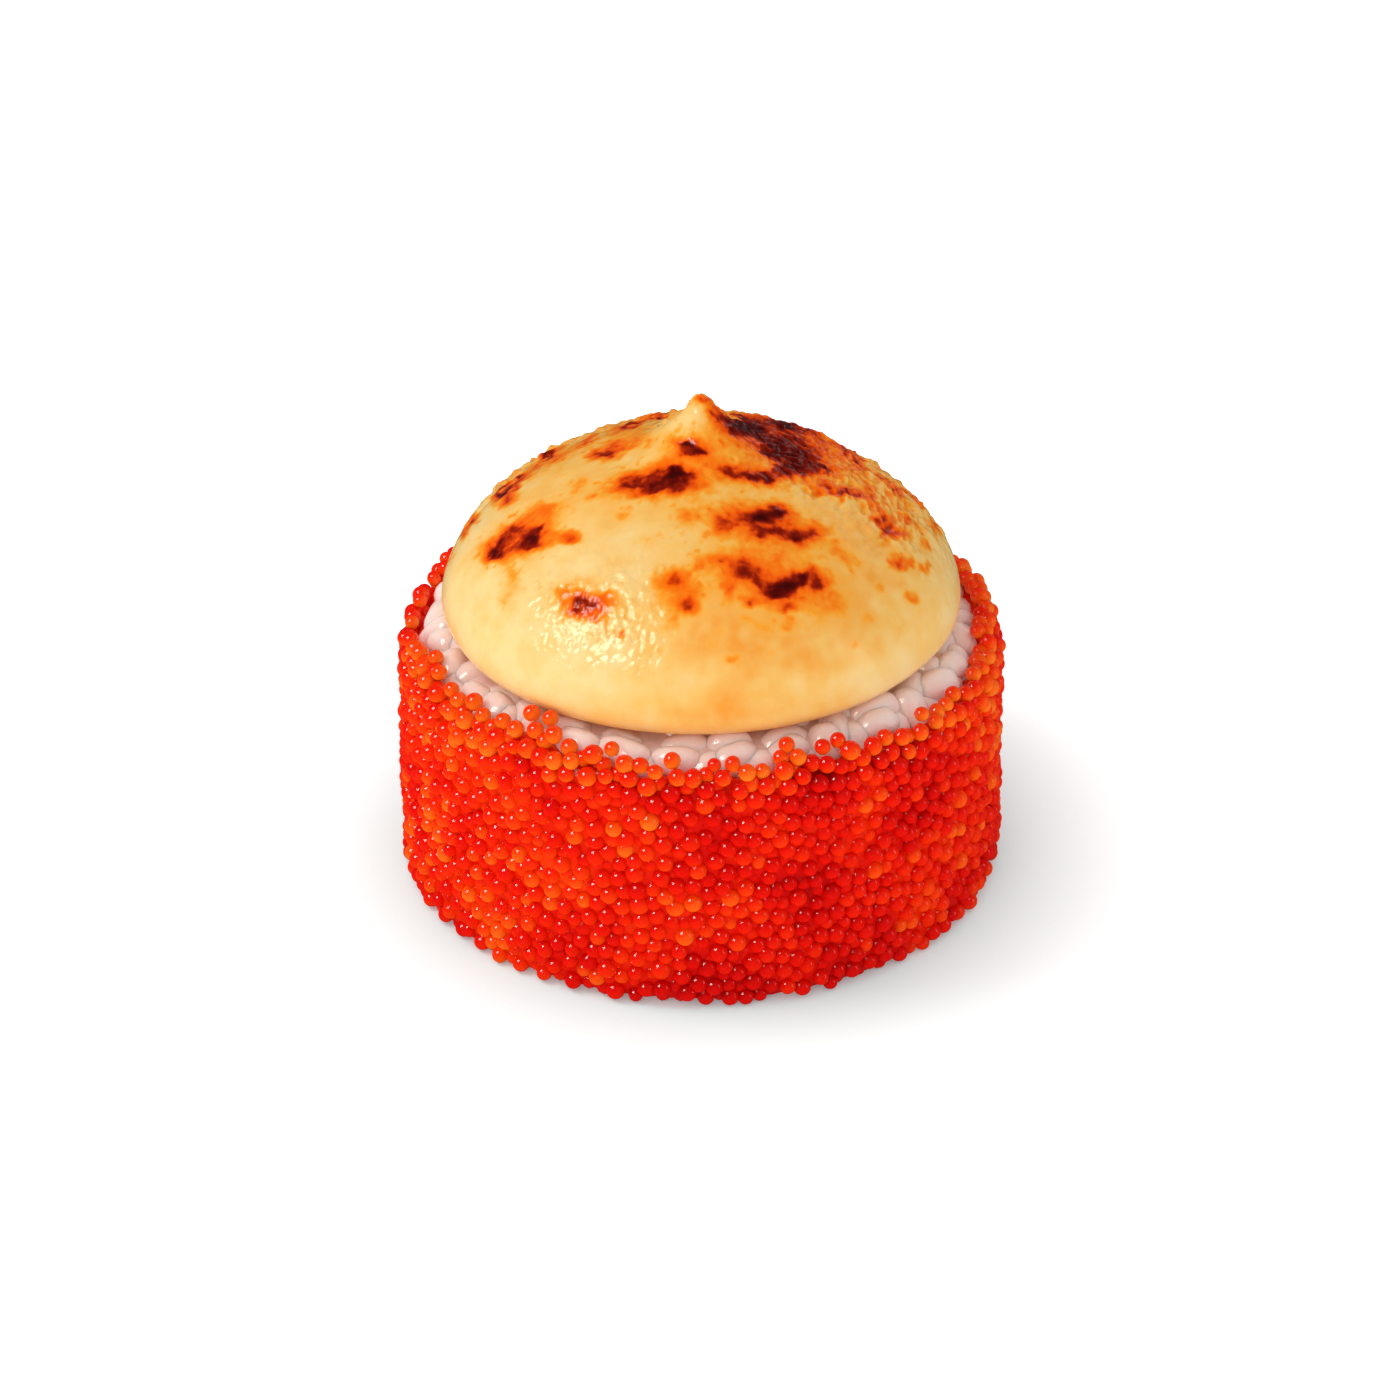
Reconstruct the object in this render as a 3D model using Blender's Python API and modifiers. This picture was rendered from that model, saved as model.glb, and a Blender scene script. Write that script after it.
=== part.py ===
"""A round piece of sushi: a drum of pressed rice in a coat of fish roe, under a torched cheese cap.

Units are metres, +Z is up and -Y is the front. The drum stands on Z = 0 with its axis on Z.
Profiles are written as (r, z), the distance from that axis and the height.
"""

import math
import random

import bmesh
import bpy
from mathutils import Matrix, Vector, noise

MM = 0.001

# Driving dimensions of the drum
ROE_RADIUS = 25.0 * MM
FOOT_SPREAD = 0.4 * MM
RICE_TOP = 22.3 * MM
SHOULDER_ROUND = 3.0 * MM
RING_DROP = 0.8 * MM
FOOT_ROUND = 1.2 * MM
GAP = 0.35 * MM

# Driving dimensions of what is small
EGG_DIAMETER = 1.4 * MM
GRAIN_LENGTH = 5.0 * MM
GRAIN_WIDTH = 2.5 * MM

# Driving dimensions of the cap
CAP_RADIUS = 21.35 * MM
CAP_WIDEST_HEIGHT = 24.2 * MM
CAP_SAG = 5.4 * MM
SAG_MORE_AT_LEFT = 0.9 * MM
DOME_TOP = 37.3 * MM
DOME_FULLNESS = 1.52
FULLER_IN_FRONT = 0.10
FULLER_AT_LEFT = 0.09
TIP_TOP = 40.7 * MM
TIP_REACH = 6.8 * MM
TIP_BLUNT = 0.45 * MM
TIP_BACK = 2.5 * MM

# The rim of the roe climbs the shoulder to this angle from level, with taller tongues in places
RIM_ANGLE = 38.0
RIM_WAVE = 5.0
RIM_TONGUES = [
    {"azimuth": -125.0, "rise": 20.0, "half_width": 6.0},
    {"azimuth": -73.0, "rise": 12.0, "half_width": 5.0},
    {"azimuth": 5.0, "rise": 9.0, "half_width": 14.0},
    {"azimuth": 80.0, "rise": 12.0, "half_width": 7.0},
    {"azimuth": 138.0, "rise": 14.0, "half_width": 6.0},
]

# How finely each surface is cut
ROE_COLUMNS = 120
ROE_ROWS = 20
RICE_SEGMENTS = 36
CAP_SEGMENTS = 44
RIM_EGGS = 54

# Rings of grains on the shoulder: how many, at what angle from level, and shifted by what share
GRAIN_RINGS = [(27, 56.0, 0.0), (25, 84.0, 0.5)]

# A grain that touches its neighbours is tried smaller, further in and deeper
GRAIN_TRIES = [
    (1.0, 0.0, 0.0),
    (0.97, 4.0, 0.15 * MM),
    (0.94, 6.0, 0.3 * MM),
    (0.9, 8.0, 0.45 * MM),
    (0.85, 10.0, 0.55 * MM),
    (0.8, 12.0, 0.65 * MM),
]

COAT_THICKNESS = 1.25 * EGG_DIAMETER
RICE_RADIUS = ROE_RADIUS - COAT_THICKNESS
SHOULDER_CENTRE = (RICE_RADIUS - SHOULDER_ROUND, RICE_TOP - SHOULDER_ROUND)
FOOT_CENTRE = (RICE_RADIUS + FOOT_SPREAD - FOOT_ROUND, FOOT_ROUND)
CAP_BOTTOM = RICE_TOP + GAP

chance = random.Random(7)


def clear_scene():
    for obj in list(bpy.data.objects):
        bpy.data.objects.remove(obj, do_unlink=True)


def make_collection(name):
    collection = bpy.data.collections.new(name)
    bpy.context.scene.collection.children.link(collection)
    return collection


def make_material(name, colour, roughness):
    material = bpy.data.materials.new(name)
    material.use_nodes = True
    shader = material.node_tree.nodes["Principled BSDF"]
    shader.inputs["Base Color"].default_value = (*colour, 1.0)
    shader.inputs["Roughness"].default_value = roughness
    shader.inputs["Metallic"].default_value = 0.0
    material.diffuse_color = (*colour, 1.0)
    return material


def add_object(name, mesh, collection, material=None):
    obj = bpy.data.objects.new(name, mesh)
    collection.objects.link(obj)
    if material:
        mesh.materials.append(material)
    return obj


def settle_modifiers(obj):
    """Apply the object's modifiers by taking the mesh that the viewport shows."""
    evaluated = obj.evaluated_get(bpy.context.evaluated_depsgraph_get())
    mesh = bpy.data.meshes.new_from_object(evaluated)
    old = obj.data
    obj.modifiers.clear()
    obj.data = mesh
    mesh.name = obj.name
    bpy.data.meshes.remove(old)


def arc(centre, radius, first, last, steps):
    """Points (r, z) along a circle in the profile plane, between two angles in degrees."""
    points = []
    for step in range(steps + 1):
        angle = math.radians(first + (last - first) * step / steps)
        points.append((centre[0] + radius * math.cos(angle), centre[1] + radius * math.sin(angle)))
    return points


def spaced(points, count):
    """The same line through points, cut into equal lengths by count points."""
    reach = [0.0]
    for a, b in zip(points, points[1:]):
        reach.append(reach[-1] + math.dist(a, b))
    result = []
    span = 0
    for index in range(count):
        target = reach[-1] * index / (count - 1)
        while span < len(points) - 2 and reach[span + 1] < target:
            span += 1
        share = (target - reach[span]) / (reach[span + 1] - reach[span])
        a, b = points[span], points[span + 1]
        result.append((a[0] + (b[0] - a[0]) * share, a[1] + (b[1] - a[1]) * share))
    return result


def turned(name, profile, segments, collection, material, closed=False):
    """A profile that runs down its outer side, turned round Z by a Screw modifier."""
    edges = [(i, i + 1) for i in range(len(profile) - 1)]
    if closed:
        edges.append((len(profile) - 1, 0))
    mesh = bpy.data.meshes.new(name)
    mesh.from_pydata([(r, 0.0, z) for r, z in profile], edges, [])
    obj = add_object(name, mesh, collection, material)
    screw = obj.modifiers.new("Turn", "SCREW")
    screw.steps = segments
    screw.render_steps = segments
    screw.use_merge_vertices = True
    screw.merge_threshold = 0.01 * MM
    settle_modifiers(obj)
    return obj


def join_pieces(obj, pieces, solver="EXACT"):
    """Fuse every object of a collection to obj, then remove the collection's objects."""
    union = obj.modifiers.new("Fuse", "BOOLEAN")
    union.operation = "UNION"
    union.operand_type = "COLLECTION"
    union.collection = pieces
    union.solver = solver
    settle_modifiers(obj)
    for piece in list(pieces.objects):
        bpy.data.objects.remove(piece, do_unlink=True)
    bpy.data.collections.remove(pieces)


def angle_apart(first, second):
    """The turn from one azimuth to another in degrees, between -180 and 180."""
    return (first - second + 180.0) % 360.0 - 180.0


def rim_angle(azimuth):
    """How far up the shoulder the roe reaches at an azimuth, in degrees from level."""
    angle = RIM_ANGLE + RIM_WAVE * math.sin(math.radians(azimuth) * 7.0 + 0.8)
    for tongue in RIM_TONGUES:
        offset = angle_apart(azimuth, tongue["azimuth"]) / tongue["half_width"]
        angle += tongue["rise"] * math.exp(-offset * offset)
    return angle


def cap_upper_height(r, azimuth=None):
    """The height of the cap's dome and kiss tip at a distance from the axis.

    The dome is fuller in front and at the left than at the right. Without an azimuth it is even.
    """
    fullness = DOME_FULLNESS
    if azimuth is not None:
        fullness -= FULLER_IN_FRONT * math.cos(2.0 * azimuth) + FULLER_AT_LEFT * math.cos(azimuth)
    share = min(1.0, r / CAP_RADIUS)
    dome = (DOME_TOP - CAP_WIDEST_HEIGHT) * (1.0 - share**fullness) ** 0.51
    from_tip = (math.hypot(r, TIP_BLUNT) - TIP_BLUNT) / TIP_REACH
    tip = (TIP_TOP - DOME_TOP) * max(0.0, 1.0 - from_tip) ** 2.3
    return CAP_WIDEST_HEIGHT + dome + tip


def cap_lower_radius(height, azimuth=None):
    """The radius of the cap's sagging underside at a height below its widest line."""
    sag = CAP_SAG
    if azimuth is not None:
        sag -= SAG_MORE_AT_LEFT * math.cos(azimuth)
    drop = min(1.0, abs(CAP_WIDEST_HEIGHT - height) / sag)
    return CAP_RADIUS * math.sqrt(1.0 - drop * drop)


def cap_profile():
    """The cap from its tip, down over the dome and its widest line, to the middle of its base."""
    tip_radii = [0.0, 0.3 * MM, 0.6 * MM, 1.0 * MM, 1.6 * MM, 2.5 * MM, 3.8 * MM]
    dome_radii = [CAP_RADIUS * math.sin(math.radians(angle)) for angle in range(15, 81, 7)]
    dome_radii += [CAP_RADIUS * math.sin(math.radians(angle)) for angle in (83.0, 87.0)]
    profile = [(r, cap_upper_height(r)) for r in tip_radii + dome_radii]
    profile.append((CAP_RADIUS, CAP_WIDEST_HEIGHT))
    for share in (0.45, 0.8, 1.0):
        height = CAP_WIDEST_HEIGHT + (CAP_BOTTOM - CAP_WIDEST_HEIGHT) * share
        profile.append((cap_lower_radius(height), height))
    profile.append((0.0, CAP_BOTTOM))
    return profile


def build_cap(collection, material):
    """The cap of thick cheese sauce: a turned dome with a kiss tip, then made uneven."""
    cap = turned("cheese_cap", cap_profile(), CAP_SEGMENTS, collection, material)
    mesh = cap.data
    normals = [vertex.normal.copy() for vertex in mesh.vertices]
    for vertex, normal in zip(mesh.vertices, normals):
        place = vertex.co.copy()
        r = math.hypot(place.x, place.y)
        azimuth = math.atan2(place.y, place.x)
        above = place.z - CAP_BOTTOM
        hold = min(1.0, above / (CAP_WIDEST_HEIGHT - CAP_BOTTOM))
        high = min(1.0, max(0.0, (place.z - 27.0 * MM) / (4.0 * MM)))
        if place.z > CAP_WIDEST_HEIGHT:
            place.z = cap_upper_height(r, azimuth)
            inward = 1.0 - r / CAP_RADIUS
            place.y += TIP_BACK * inward * inward
        elif r > 0.0:
            slimmer = cap_lower_radius(place.z, azimuth) / r
            place.x *= slimmer
            place.y *= slimmer
        swell = noise.noise(place / (9.0 * MM)) * 0.25 * MM
        blister = noise.noise(place / (2.2 * MM) + Vector((5.0, 1.0, 3.0))) * 0.22 * MM
        vertex.co = place + normal * (swell * hold + blister * high)
    mesh.shade_smooth()
    return cap


def egg_centres():
    """Where the separate eggs lie along the rim of the roe."""
    eggs = []
    for index in range(RIM_EGGS):
        azimuth = 360.0 * index / RIM_EGGS + chance.uniform(-1.0, 1.0)
        angle = rim_angle(azimuth) + chance.uniform(-6.0, 6.0)
        radius = 0.5 * EGG_DIAMETER * chance.uniform(0.92, 1.08)
        out = GAP + radius + 0.05 * MM
        r = SHOULDER_CENTRE[0] + (SHOULDER_ROUND + out) * math.cos(math.radians(angle))
        z = SHOULDER_CENTRE[1] + (SHOULDER_ROUND + out) * math.sin(math.radians(angle))
        turn = math.radians(azimuth)
        eggs.append((Vector((r * math.cos(turn), r * math.sin(turn), z)), radius))
    return eggs


def coat_outline():
    """The roe's outer face from its rim down to the floor, as equal steps of about one egg."""
    out = COAT_THICKNESS - 0.25 * EGG_DIAMETER
    line = arc(SHOULDER_CENTRE, SHOULDER_ROUND + out, RIM_ANGLE, 0.0, 12)
    foot_reach = FOOT_ROUND + out
    floor_angle = -math.degrees(math.asin((FOOT_ROUND - 0.1 * MM) / foot_reach))
    line += arc(FOOT_CENTRE, foot_reach, 0.0, floor_angle, 8)
    return spaced(line, ROE_ROWS)


def outline_normals(line):
    """The outward direction (r, z) at each point of a line that runs downwards."""
    normals = []
    for index in range(len(line)):
        a = line[max(0, index - 1)]
        b = line[min(len(line) - 1, index + 1)]
        along = (b[0] - a[0], b[1] - a[1])
        size = math.hypot(*along)
        normals.append((-along[1] / size, along[0] / size))
    return normals


def build_roe_coat(collection, material, eggs):
    """The ring of roe: bumps of the eggs' size on its wall, and separate eggs along its rim."""
    outside = coat_outline()
    normals = outline_normals(outside)
    inside = [
        (FOOT_CENTRE[0] + FOOT_ROUND + GAP, outside[-1][1]),
        (SHOULDER_CENTRE[0] + SHOULDER_ROUND + GAP, SHOULDER_CENTRE[1]),
    ]
    inside += arc(SHOULDER_CENTRE, SHOULDER_ROUND + GAP + 0.05 * MM, 0.5 * RIM_ANGLE, RIM_ANGLE, 1)
    rows = outside + inside
    coat = turned("roe_coat", rows, ROE_COLUMNS, collection, material, closed=True)
    mesh = coat.data
    peaks = set()
    for vertex in mesh.vertices:
        azimuth = math.atan2(vertex.co.y, vertex.co.x)
        here = (math.hypot(vertex.co.x, vertex.co.y), vertex.co.z)
        row = min(range(len(rows)), key=lambda index: math.dist(rows[index], here))
        column = round(azimuth / (2.0 * math.pi / ROE_COLUMNS))
        r, z = rows[row]
        if 0 < row < len(outside) - 1:
            proud = (row + column) % 2 == 0
            lift = chance.uniform(0.16, 0.27) if proud else chance.uniform(-0.30, -0.22)
            r += normals[row][0] * lift * EGG_DIAMETER
            z += normals[row][1] * lift * EGG_DIAMETER
            if proud:
                peaks.add(vertex.index)
        if z > SHOULDER_CENTRE[1]:
            across, up = r - SHOULDER_CENTRE[0], z - SHOULDER_CENTRE[1]
            reach = math.hypot(across, up)
            angle = math.atan2(up, across) * rim_angle(math.degrees(azimuth)) / RIM_ANGLE
            r = SHOULDER_CENTRE[0] + reach * math.cos(angle)
            z = SHOULDER_CENTRE[1] + reach * math.sin(angle)
        vertex.co = (r * math.cos(azimuth), r * math.sin(azimuth), z)
    split_between_eggs(mesh, peaks)
    pieces = make_collection("rim_eggs")
    for index, (centre, radius) in enumerate(eggs):
        body = bmesh.new()
        bmesh.ops.create_icosphere(body, subdivisions=1, radius=radius)
        egg_mesh = bpy.data.meshes.new(f"egg_{index}")
        body.to_mesh(egg_mesh)
        body.free()
        egg = add_object(f"egg_{index}", egg_mesh, pieces)
        egg.location = centre
        egg.rotation_euler = [chance.uniform(0.0, math.pi) for _ in range(3)]
    join_pieces(coat, pieces)
    coat.data.shade_smooth()
    return coat


def split_between_eggs(mesh, peaks):
    """Cut each square of the wall along its two low corners, so that every bump stands alone."""
    body = bmesh.new()
    body.from_mesh(mesh)
    body.verts.ensure_lookup_table()
    for face in list(body.faces):
        low = [vert for vert in face.verts if vert.index not in peaks]
        high = [vert for vert in face.verts if vert.index in peaks]
        if len(face.verts) == 4 and len(high) == 2 and len(low) == 2:
            bmesh.utils.face_split(face, low[0], low[1])
    bmesh.ops.triangulate(body, faces=[face for face in body.faces if len(face.verts) > 3])
    body.to_mesh(mesh)
    body.free()


def rice_profile():
    """The bare drum of rice, from the middle of its top down its side to the middle of its foot.

    Its shoulder is a little lower than the drum's outline, which the grains on it make up.
    """
    ring_centre = (SHOULDER_CENTRE[0], SHOULDER_CENTRE[1] - RING_DROP)
    line = [(0.0, RICE_TOP), (ring_centre[0] - RING_DROP, RICE_TOP)]
    line += arc(ring_centre, SHOULDER_ROUND, 90.0, 0.0, 4)
    line += arc(FOOT_CENTRE, FOOT_ROUND, 0.0, -90.0, 3)
    line.append((0.0, 0.0))
    return line


def grain_is_clear(points, eggs):
    """True if a grain's points keep the gap to the cap, to the rim's eggs and to the coat."""
    for point in points:
        r = math.hypot(point.x, point.y)
        azimuth = math.atan2(point.y, point.x)
        if point.z > CAP_BOTTOM - GAP and r < cap_lower_radius(point.z, azimuth) + GAP:
            return False
        if any((point - centre).length < radius + GAP for centre, radius in eggs):
            return False
        across, up = r - SHOULDER_CENTRE[0], point.z - SHOULDER_CENTRE[1]
        rim = rim_angle(math.degrees(azimuth))
        under_rim = math.degrees(math.atan2(up, across)) < rim + 7.0
        if under_rim and max(across, math.hypot(across, up)) > SHOULDER_ROUND + 0.02 * MM:
            return False
    return True


def grain_mesh(name, length, width, place):
    """One plump grain: a stretched sphere of few sides, moved to its place."""
    body = bmesh.new()
    bmesh.ops.create_uvsphere(body, u_segments=6, v_segments=5, radius=0.5)
    bmesh.ops.scale(body, vec=(width, 0.92 * width, length), verts=body.verts)
    bmesh.ops.transform(body, matrix=place, verts=body.verts)
    mesh = bpy.data.meshes.new(name)
    body.to_mesh(mesh)
    body.free()
    return mesh


def build_rice(collection, material, eggs):
    """The drum of pressed rice, with the grains that show between the roe and the cap."""
    rice = turned("rice", rice_profile(), RICE_SEGMENTS, collection, material)
    pieces = make_collection("loose_grains")
    laid = 0
    for count, angle, offset in GRAIN_RINGS:
        for index in range(count):
            turn = 2.0 * math.pi * (index + offset) / count + chance.uniform(-0.03, 0.03)
            lean = chance.uniform(-22.0, 22.0)
            length = GRAIN_LENGTH * chance.uniform(0.88, 1.1)
            for shrink, inward, sink in GRAIN_TRIES:
                width = GRAIN_WIDTH * shrink
                out = SHOULDER_ROUND - sink
                tilt = math.radians(angle + inward)
                r = SHOULDER_CENTRE[0] + out * math.cos(tilt)
                z = SHOULDER_CENTRE[1] - RING_DROP + out * math.sin(tilt)
                place = (
                    Matrix.Rotation(turn, 4, "Z")
                    @ Matrix.Translation((r, 0.0, z))
                    @ Matrix.Rotation(-tilt, 4, "Y")
                    @ Matrix.Rotation(math.radians(90.0 + lean * shrink), 4, "X")
                )
                mesh = grain_mesh(f"grain_{laid}", length * shrink, width, place)
                if grain_is_clear([vertex.co for vertex in mesh.vertices], eggs):
                    add_object(mesh.name, mesh, pieces)
                    laid += 1
                    break
                bpy.data.meshes.remove(mesh)
    print("grains laid:", laid)
    join_pieces(rice, pieces)
    rice.data.shade_smooth()
    return rice


clear_scene()
sushi = make_collection("roe_coated_sushi")
eggs_of_rim = egg_centres()
build_rice(sushi, make_material("rice_finish", (0.85, 0.66, 0.64), 0.35), eggs_of_rim)
build_roe_coat(sushi, make_material("roe_finish", (0.90, 0.06, 0.01), 0.15), eggs_of_rim)
build_cap(sushi, make_material("cheese_finish", (0.90, 0.58, 0.22), 0.30))
for part in sushi.objects:
    part.data.calc_loop_triangles()
    print(part.name, len(part.data.loop_triangles), "triangles")
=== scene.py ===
# %% [markdown]
# # A round piece of sushi under a torched cheese cap
#
# The piece is a drum of pressed rice, 50 mm across, in a coat of red fish roe. A dome of thick
# cheese sauce with a soft peak sits on it, browned and blistered by a torch.
#
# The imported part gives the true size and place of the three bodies: rice, roe_coat and cheese_cap.
# This scene builds the same three again from what they are really made of: grains, eggs and a
# skin of sauce. Each of them then stands for its plain solid, so the plain solids aren't shown.

import math

import bmesh
import bpy
import numpy as np
from mathutils import Matrix, Vector, noise


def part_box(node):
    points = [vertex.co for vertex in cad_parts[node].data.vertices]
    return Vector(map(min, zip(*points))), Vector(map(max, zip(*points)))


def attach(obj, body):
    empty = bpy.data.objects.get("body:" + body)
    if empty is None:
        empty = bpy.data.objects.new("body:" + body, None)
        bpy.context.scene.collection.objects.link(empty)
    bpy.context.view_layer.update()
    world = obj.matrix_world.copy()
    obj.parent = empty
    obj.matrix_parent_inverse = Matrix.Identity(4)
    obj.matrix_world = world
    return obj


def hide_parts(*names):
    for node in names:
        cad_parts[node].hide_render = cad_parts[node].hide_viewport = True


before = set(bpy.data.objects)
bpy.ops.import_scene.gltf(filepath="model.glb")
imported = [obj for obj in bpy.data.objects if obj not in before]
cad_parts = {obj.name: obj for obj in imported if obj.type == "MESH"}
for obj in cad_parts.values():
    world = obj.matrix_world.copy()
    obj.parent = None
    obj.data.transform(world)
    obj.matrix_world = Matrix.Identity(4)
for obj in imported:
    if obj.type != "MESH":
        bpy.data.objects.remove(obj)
scene = bpy.context.scene
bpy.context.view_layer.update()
for node in sorted(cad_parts):
    low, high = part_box(node)
    print(node, [round((b - a) * 1000, 2) for a, b in zip(low, high)], "mm")

# %% [markdown]
# ## Sizes
#
# The three bodies share one outline, so its sizes are named once, in millimetres turned to metres.
# The rice drum has a round shoulder and a round foot. The roe lies on that outline, and the cap
# stands on the flat top inside the shoulder.

# %% Sizes
MM = 0.001
RICE_RADIUS = 23.25 * MM
RICE_TOP = 22.3 * MM
SHOULDER_ROUND = 3.0 * MM
FOOT_ROUND = 1.2 * MM
FOOT_SPREAD = 0.4 * MM
SHOULDER_R = RICE_RADIUS - SHOULDER_ROUND
SHOULDER_Z = RICE_TOP - SHOULDER_ROUND
FOOT_CENTRE = (RICE_RADIUS + FOOT_SPREAD - FOOT_ROUND, FOOT_ROUND)
EGG_RADIUS = 0.71 * MM
CAP_RADIUS = 21.35 * MM
CAP_WIDEST = 24.2 * MM
CAP_BOTTOM = 22.65 * MM
DOME_TOP = 37.3 * MM
TIP_TOP = 40.7 * MM
chance = np.random.default_rng(11)

# %% [markdown]
# ## Helpers
#
# Everything here is a mesh with many thousands of corners, made with numpy and handed to Blender
# in one go. Faces given one at a time would take minutes.
#
# Noise is read one point at a time from Blender's own noise, which gives the same values on every
# machine.


# %% Helpers
def mesh_from_arrays(name, corners, triangles, material, **values):
    """An object from arrays of corners and triangles, with named values kept on its corners."""
    mesh = bpy.data.meshes.new(name)
    mesh.vertices.add(len(corners))
    mesh.vertices.foreach_set("co", np.ascontiguousarray(corners, dtype=np.float32).ravel())
    mesh.loops.add(3 * len(triangles))
    mesh.loops.foreach_set("vertex_index", np.ascontiguousarray(triangles, dtype=np.int32).ravel())
    mesh.polygons.add(len(triangles))
    mesh.polygons.foreach_set("loop_start", np.arange(0, 3 * len(triangles), 3, dtype=np.int32))
    mesh.update(calc_edges=True)
    mesh.shade_smooth()
    for key, numbers in values.items():
        layer = mesh.attributes.new(key, "FLOAT", "POINT")
        layer.data.foreach_set("value", np.ascontiguousarray(numbers, dtype=np.float32))
    mesh.materials.append(material)
    obj = bpy.data.objects.new(name, mesh)
    scene.collection.objects.link(obj)
    print(name, len(triangles), "triangles")
    return obj


def arrays_of(body):
    """A body's corners and triangles as arrays. Blender's order of triangles isn't fixed, so they
    are sorted, each from its lowest corner. The body is then freed."""
    corners = np.array([vert.co for vert in body.verts])
    faces = [[vert.index for vert in face.verts] for face in body.faces]
    body.free()
    turned_faces = [face[face.index(min(face)) :] + face[: face.index(min(face))] for face in faces]
    return corners, np.array(sorted(turned_faces))


def joined(parts):
    """The corners and triangles of many parts as one."""
    starts = np.cumsum([0] + [len(corners) for corners, _ in parts[:-1]])
    triangles = [faces + start for (_, faces), start in zip(parts, starts)]
    return np.concatenate([corners for corners, _ in parts]), np.concatenate(triangles)


def noise_at(points, size, shift=0.0):
    """Smooth noise between about -1 and 1, whose bumps are as wide as size."""
    moved = np.asarray(points) / size + shift
    return np.array([noise.noise(Vector(p)) for p in moved])


def ease(low, high, x):
    """0 below low, 1 above high, and an even slope between them."""
    t = np.clip((x - low) / (high - low), 0.0, 1.0)
    return t * t * (3.0 - 2.0 * t)


def angle_apart(first, second):
    """The turn from one angle to another in degrees, between -180 and 180."""
    return (first - second + 180.0) % 360.0 - 180.0


def cos_sin(degrees):
    """The cosine and sine of an angle in degrees."""
    return math.cos(math.radians(degrees)), math.sin(math.radians(degrees))


def round_axis(azimuth, r, z):
    """The point at height z and distance r from the drum's axis, at an azimuth in degrees."""
    c, s = cos_sin(azimuth)
    return r * c, r * s, z


# %% [markdown]
# ## Materials
#
# All three foods let light in, so each has some subsurface scattering. It is kept short, because
# grains and eggs are closed bodies that overlap, and longer scattering shows dark edges there.
# Colours come from nodes alone: a ramp read by noise or by a value that the mesh keeps on its
# corners. The noise is one node group for every material that needs it.


# %% Material helpers
def new_material(name, values):
    """A material whose Principled shader has these fixed values on its own sockets."""
    material = bpy.data.materials.new(name)
    material.use_nodes = True
    shader = material.node_tree.nodes["Principled BSDF"]
    for socket, value in {"IOR": 1.45, **values}.items():
        shader.inputs[socket].default_value = value
    return material, material.node_tree.nodes, material.node_tree.links, shader


def add_ramp(nodes, links, source, stops):
    """The colours of a ramp with (place, (r, g, b)) stops, read by a source."""
    ramp = nodes.new("ShaderNodeValToRGB")
    points = ramp.color_ramp.elements
    while len(points) < len(stops):
        points.new(0.5)
    for point, (place, colour) in zip(points, stops):
        point.position = place
        point.color = (*colour, 1.0)
    links.new(source, ramp.inputs[0])
    return ramp.outputs["Color"]


def cloud_pattern():
    """Noise in the object's own coordinates, as one node group for every material."""
    group = bpy.data.node_groups.new("cloud", "ShaderNodeTree")
    for name, way in (("Clouds per metre", "INPUT"), ("Detail", "INPUT"), ("Cloud", "OUTPUT")):
        group.interface.new_socket(name=name, in_out=way, socket_type="NodeSocketFloat")
    taken = group.nodes.new("NodeGroupInput")
    given = group.nodes.new("NodeGroupOutput")
    place = group.nodes.new("ShaderNodeTexCoord")
    texture = group.nodes.new("ShaderNodeTexNoise")
    group.links.new(place.outputs["Object"], texture.inputs["Vector"])
    group.links.new(taken.outputs["Clouds per metre"], texture.inputs["Scale"])
    group.links.new(taken.outputs["Detail"], texture.inputs["Detail"])
    group.links.new(texture.outputs["Fac"], given.inputs["Cloud"])
    return group


CLOUD = cloud_pattern()


def add_cloud(nodes, width, detail=2.0):
    """The cloud group placed in a material, with clouds about as wide as width."""
    node = nodes.new("ShaderNodeGroup")
    node.node_tree = CLOUD
    node.inputs["Clouds per metre"].default_value = 1.0 / width
    node.inputs["Detail"].default_value = detail
    return node.outputs["Cloud"]


def add_value(nodes, name):
    """Reads a value that the mesh keeps on its corners."""
    node = nodes.new("ShaderNodeAttribute")
    node.attribute_name = name
    return node.outputs["Fac"]


def add_math(nodes, links, operation, first, second, third=None):
    """One sum. Each part is a number or another node's output."""
    node = nodes.new("ShaderNodeMath")
    node.operation = operation
    for socket, part in zip(node.inputs, (first, second, third)):
        if isinstance(part, (int, float)):
            socket.default_value = part
        elif part is not None:
            links.new(part, socket)
    return node.outputs[0]


def add_mix(nodes, links, factor, first, second, blend="MIX"):
    """Two colours mixed. Each is a colour or another node's output."""
    node = nodes.new("ShaderNodeMix")
    node.data_type = "RGBA"
    node.blend_type = blend
    for socket, part in ((node.inputs[0], factor), (node.inputs[6], first), (node.inputs[7], second)):
        if isinstance(part, tuple):
            socket.default_value = (*part, 1.0)
        elif isinstance(part, (int, float)):
            socket.default_value = part
        else:
            links.new(part, socket)
    return node.outputs[2]


def add_bump(nodes, links, height, distance):
    """A bump as deep as distance."""
    node = nodes.new("ShaderNodeBump")
    node.inputs["Distance"].default_value = distance
    node.inputs["Strength"].default_value = 1.0
    links.new(height, node.inputs["Height"])
    return node.outputs["Normal"]


# %% [markdown]
# ## The cheese cap
#
# The sauce is piped on as one thick blob. It sags into a dome, its edge rolls under, and the nozzle
# leaves a soft peak that leans back a little. A torch then browns what stands highest, and the skin
# there blisters.
#
# The dome could be a turned profile, but its cells would crowd at the peak and thin out at the
# edge. A square grid laid over a disc has cells of one size everywhere, about 0.18 mm, which is
# fine enough for real blisters. The distance from the middle is measured along the dome's skin.


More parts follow.
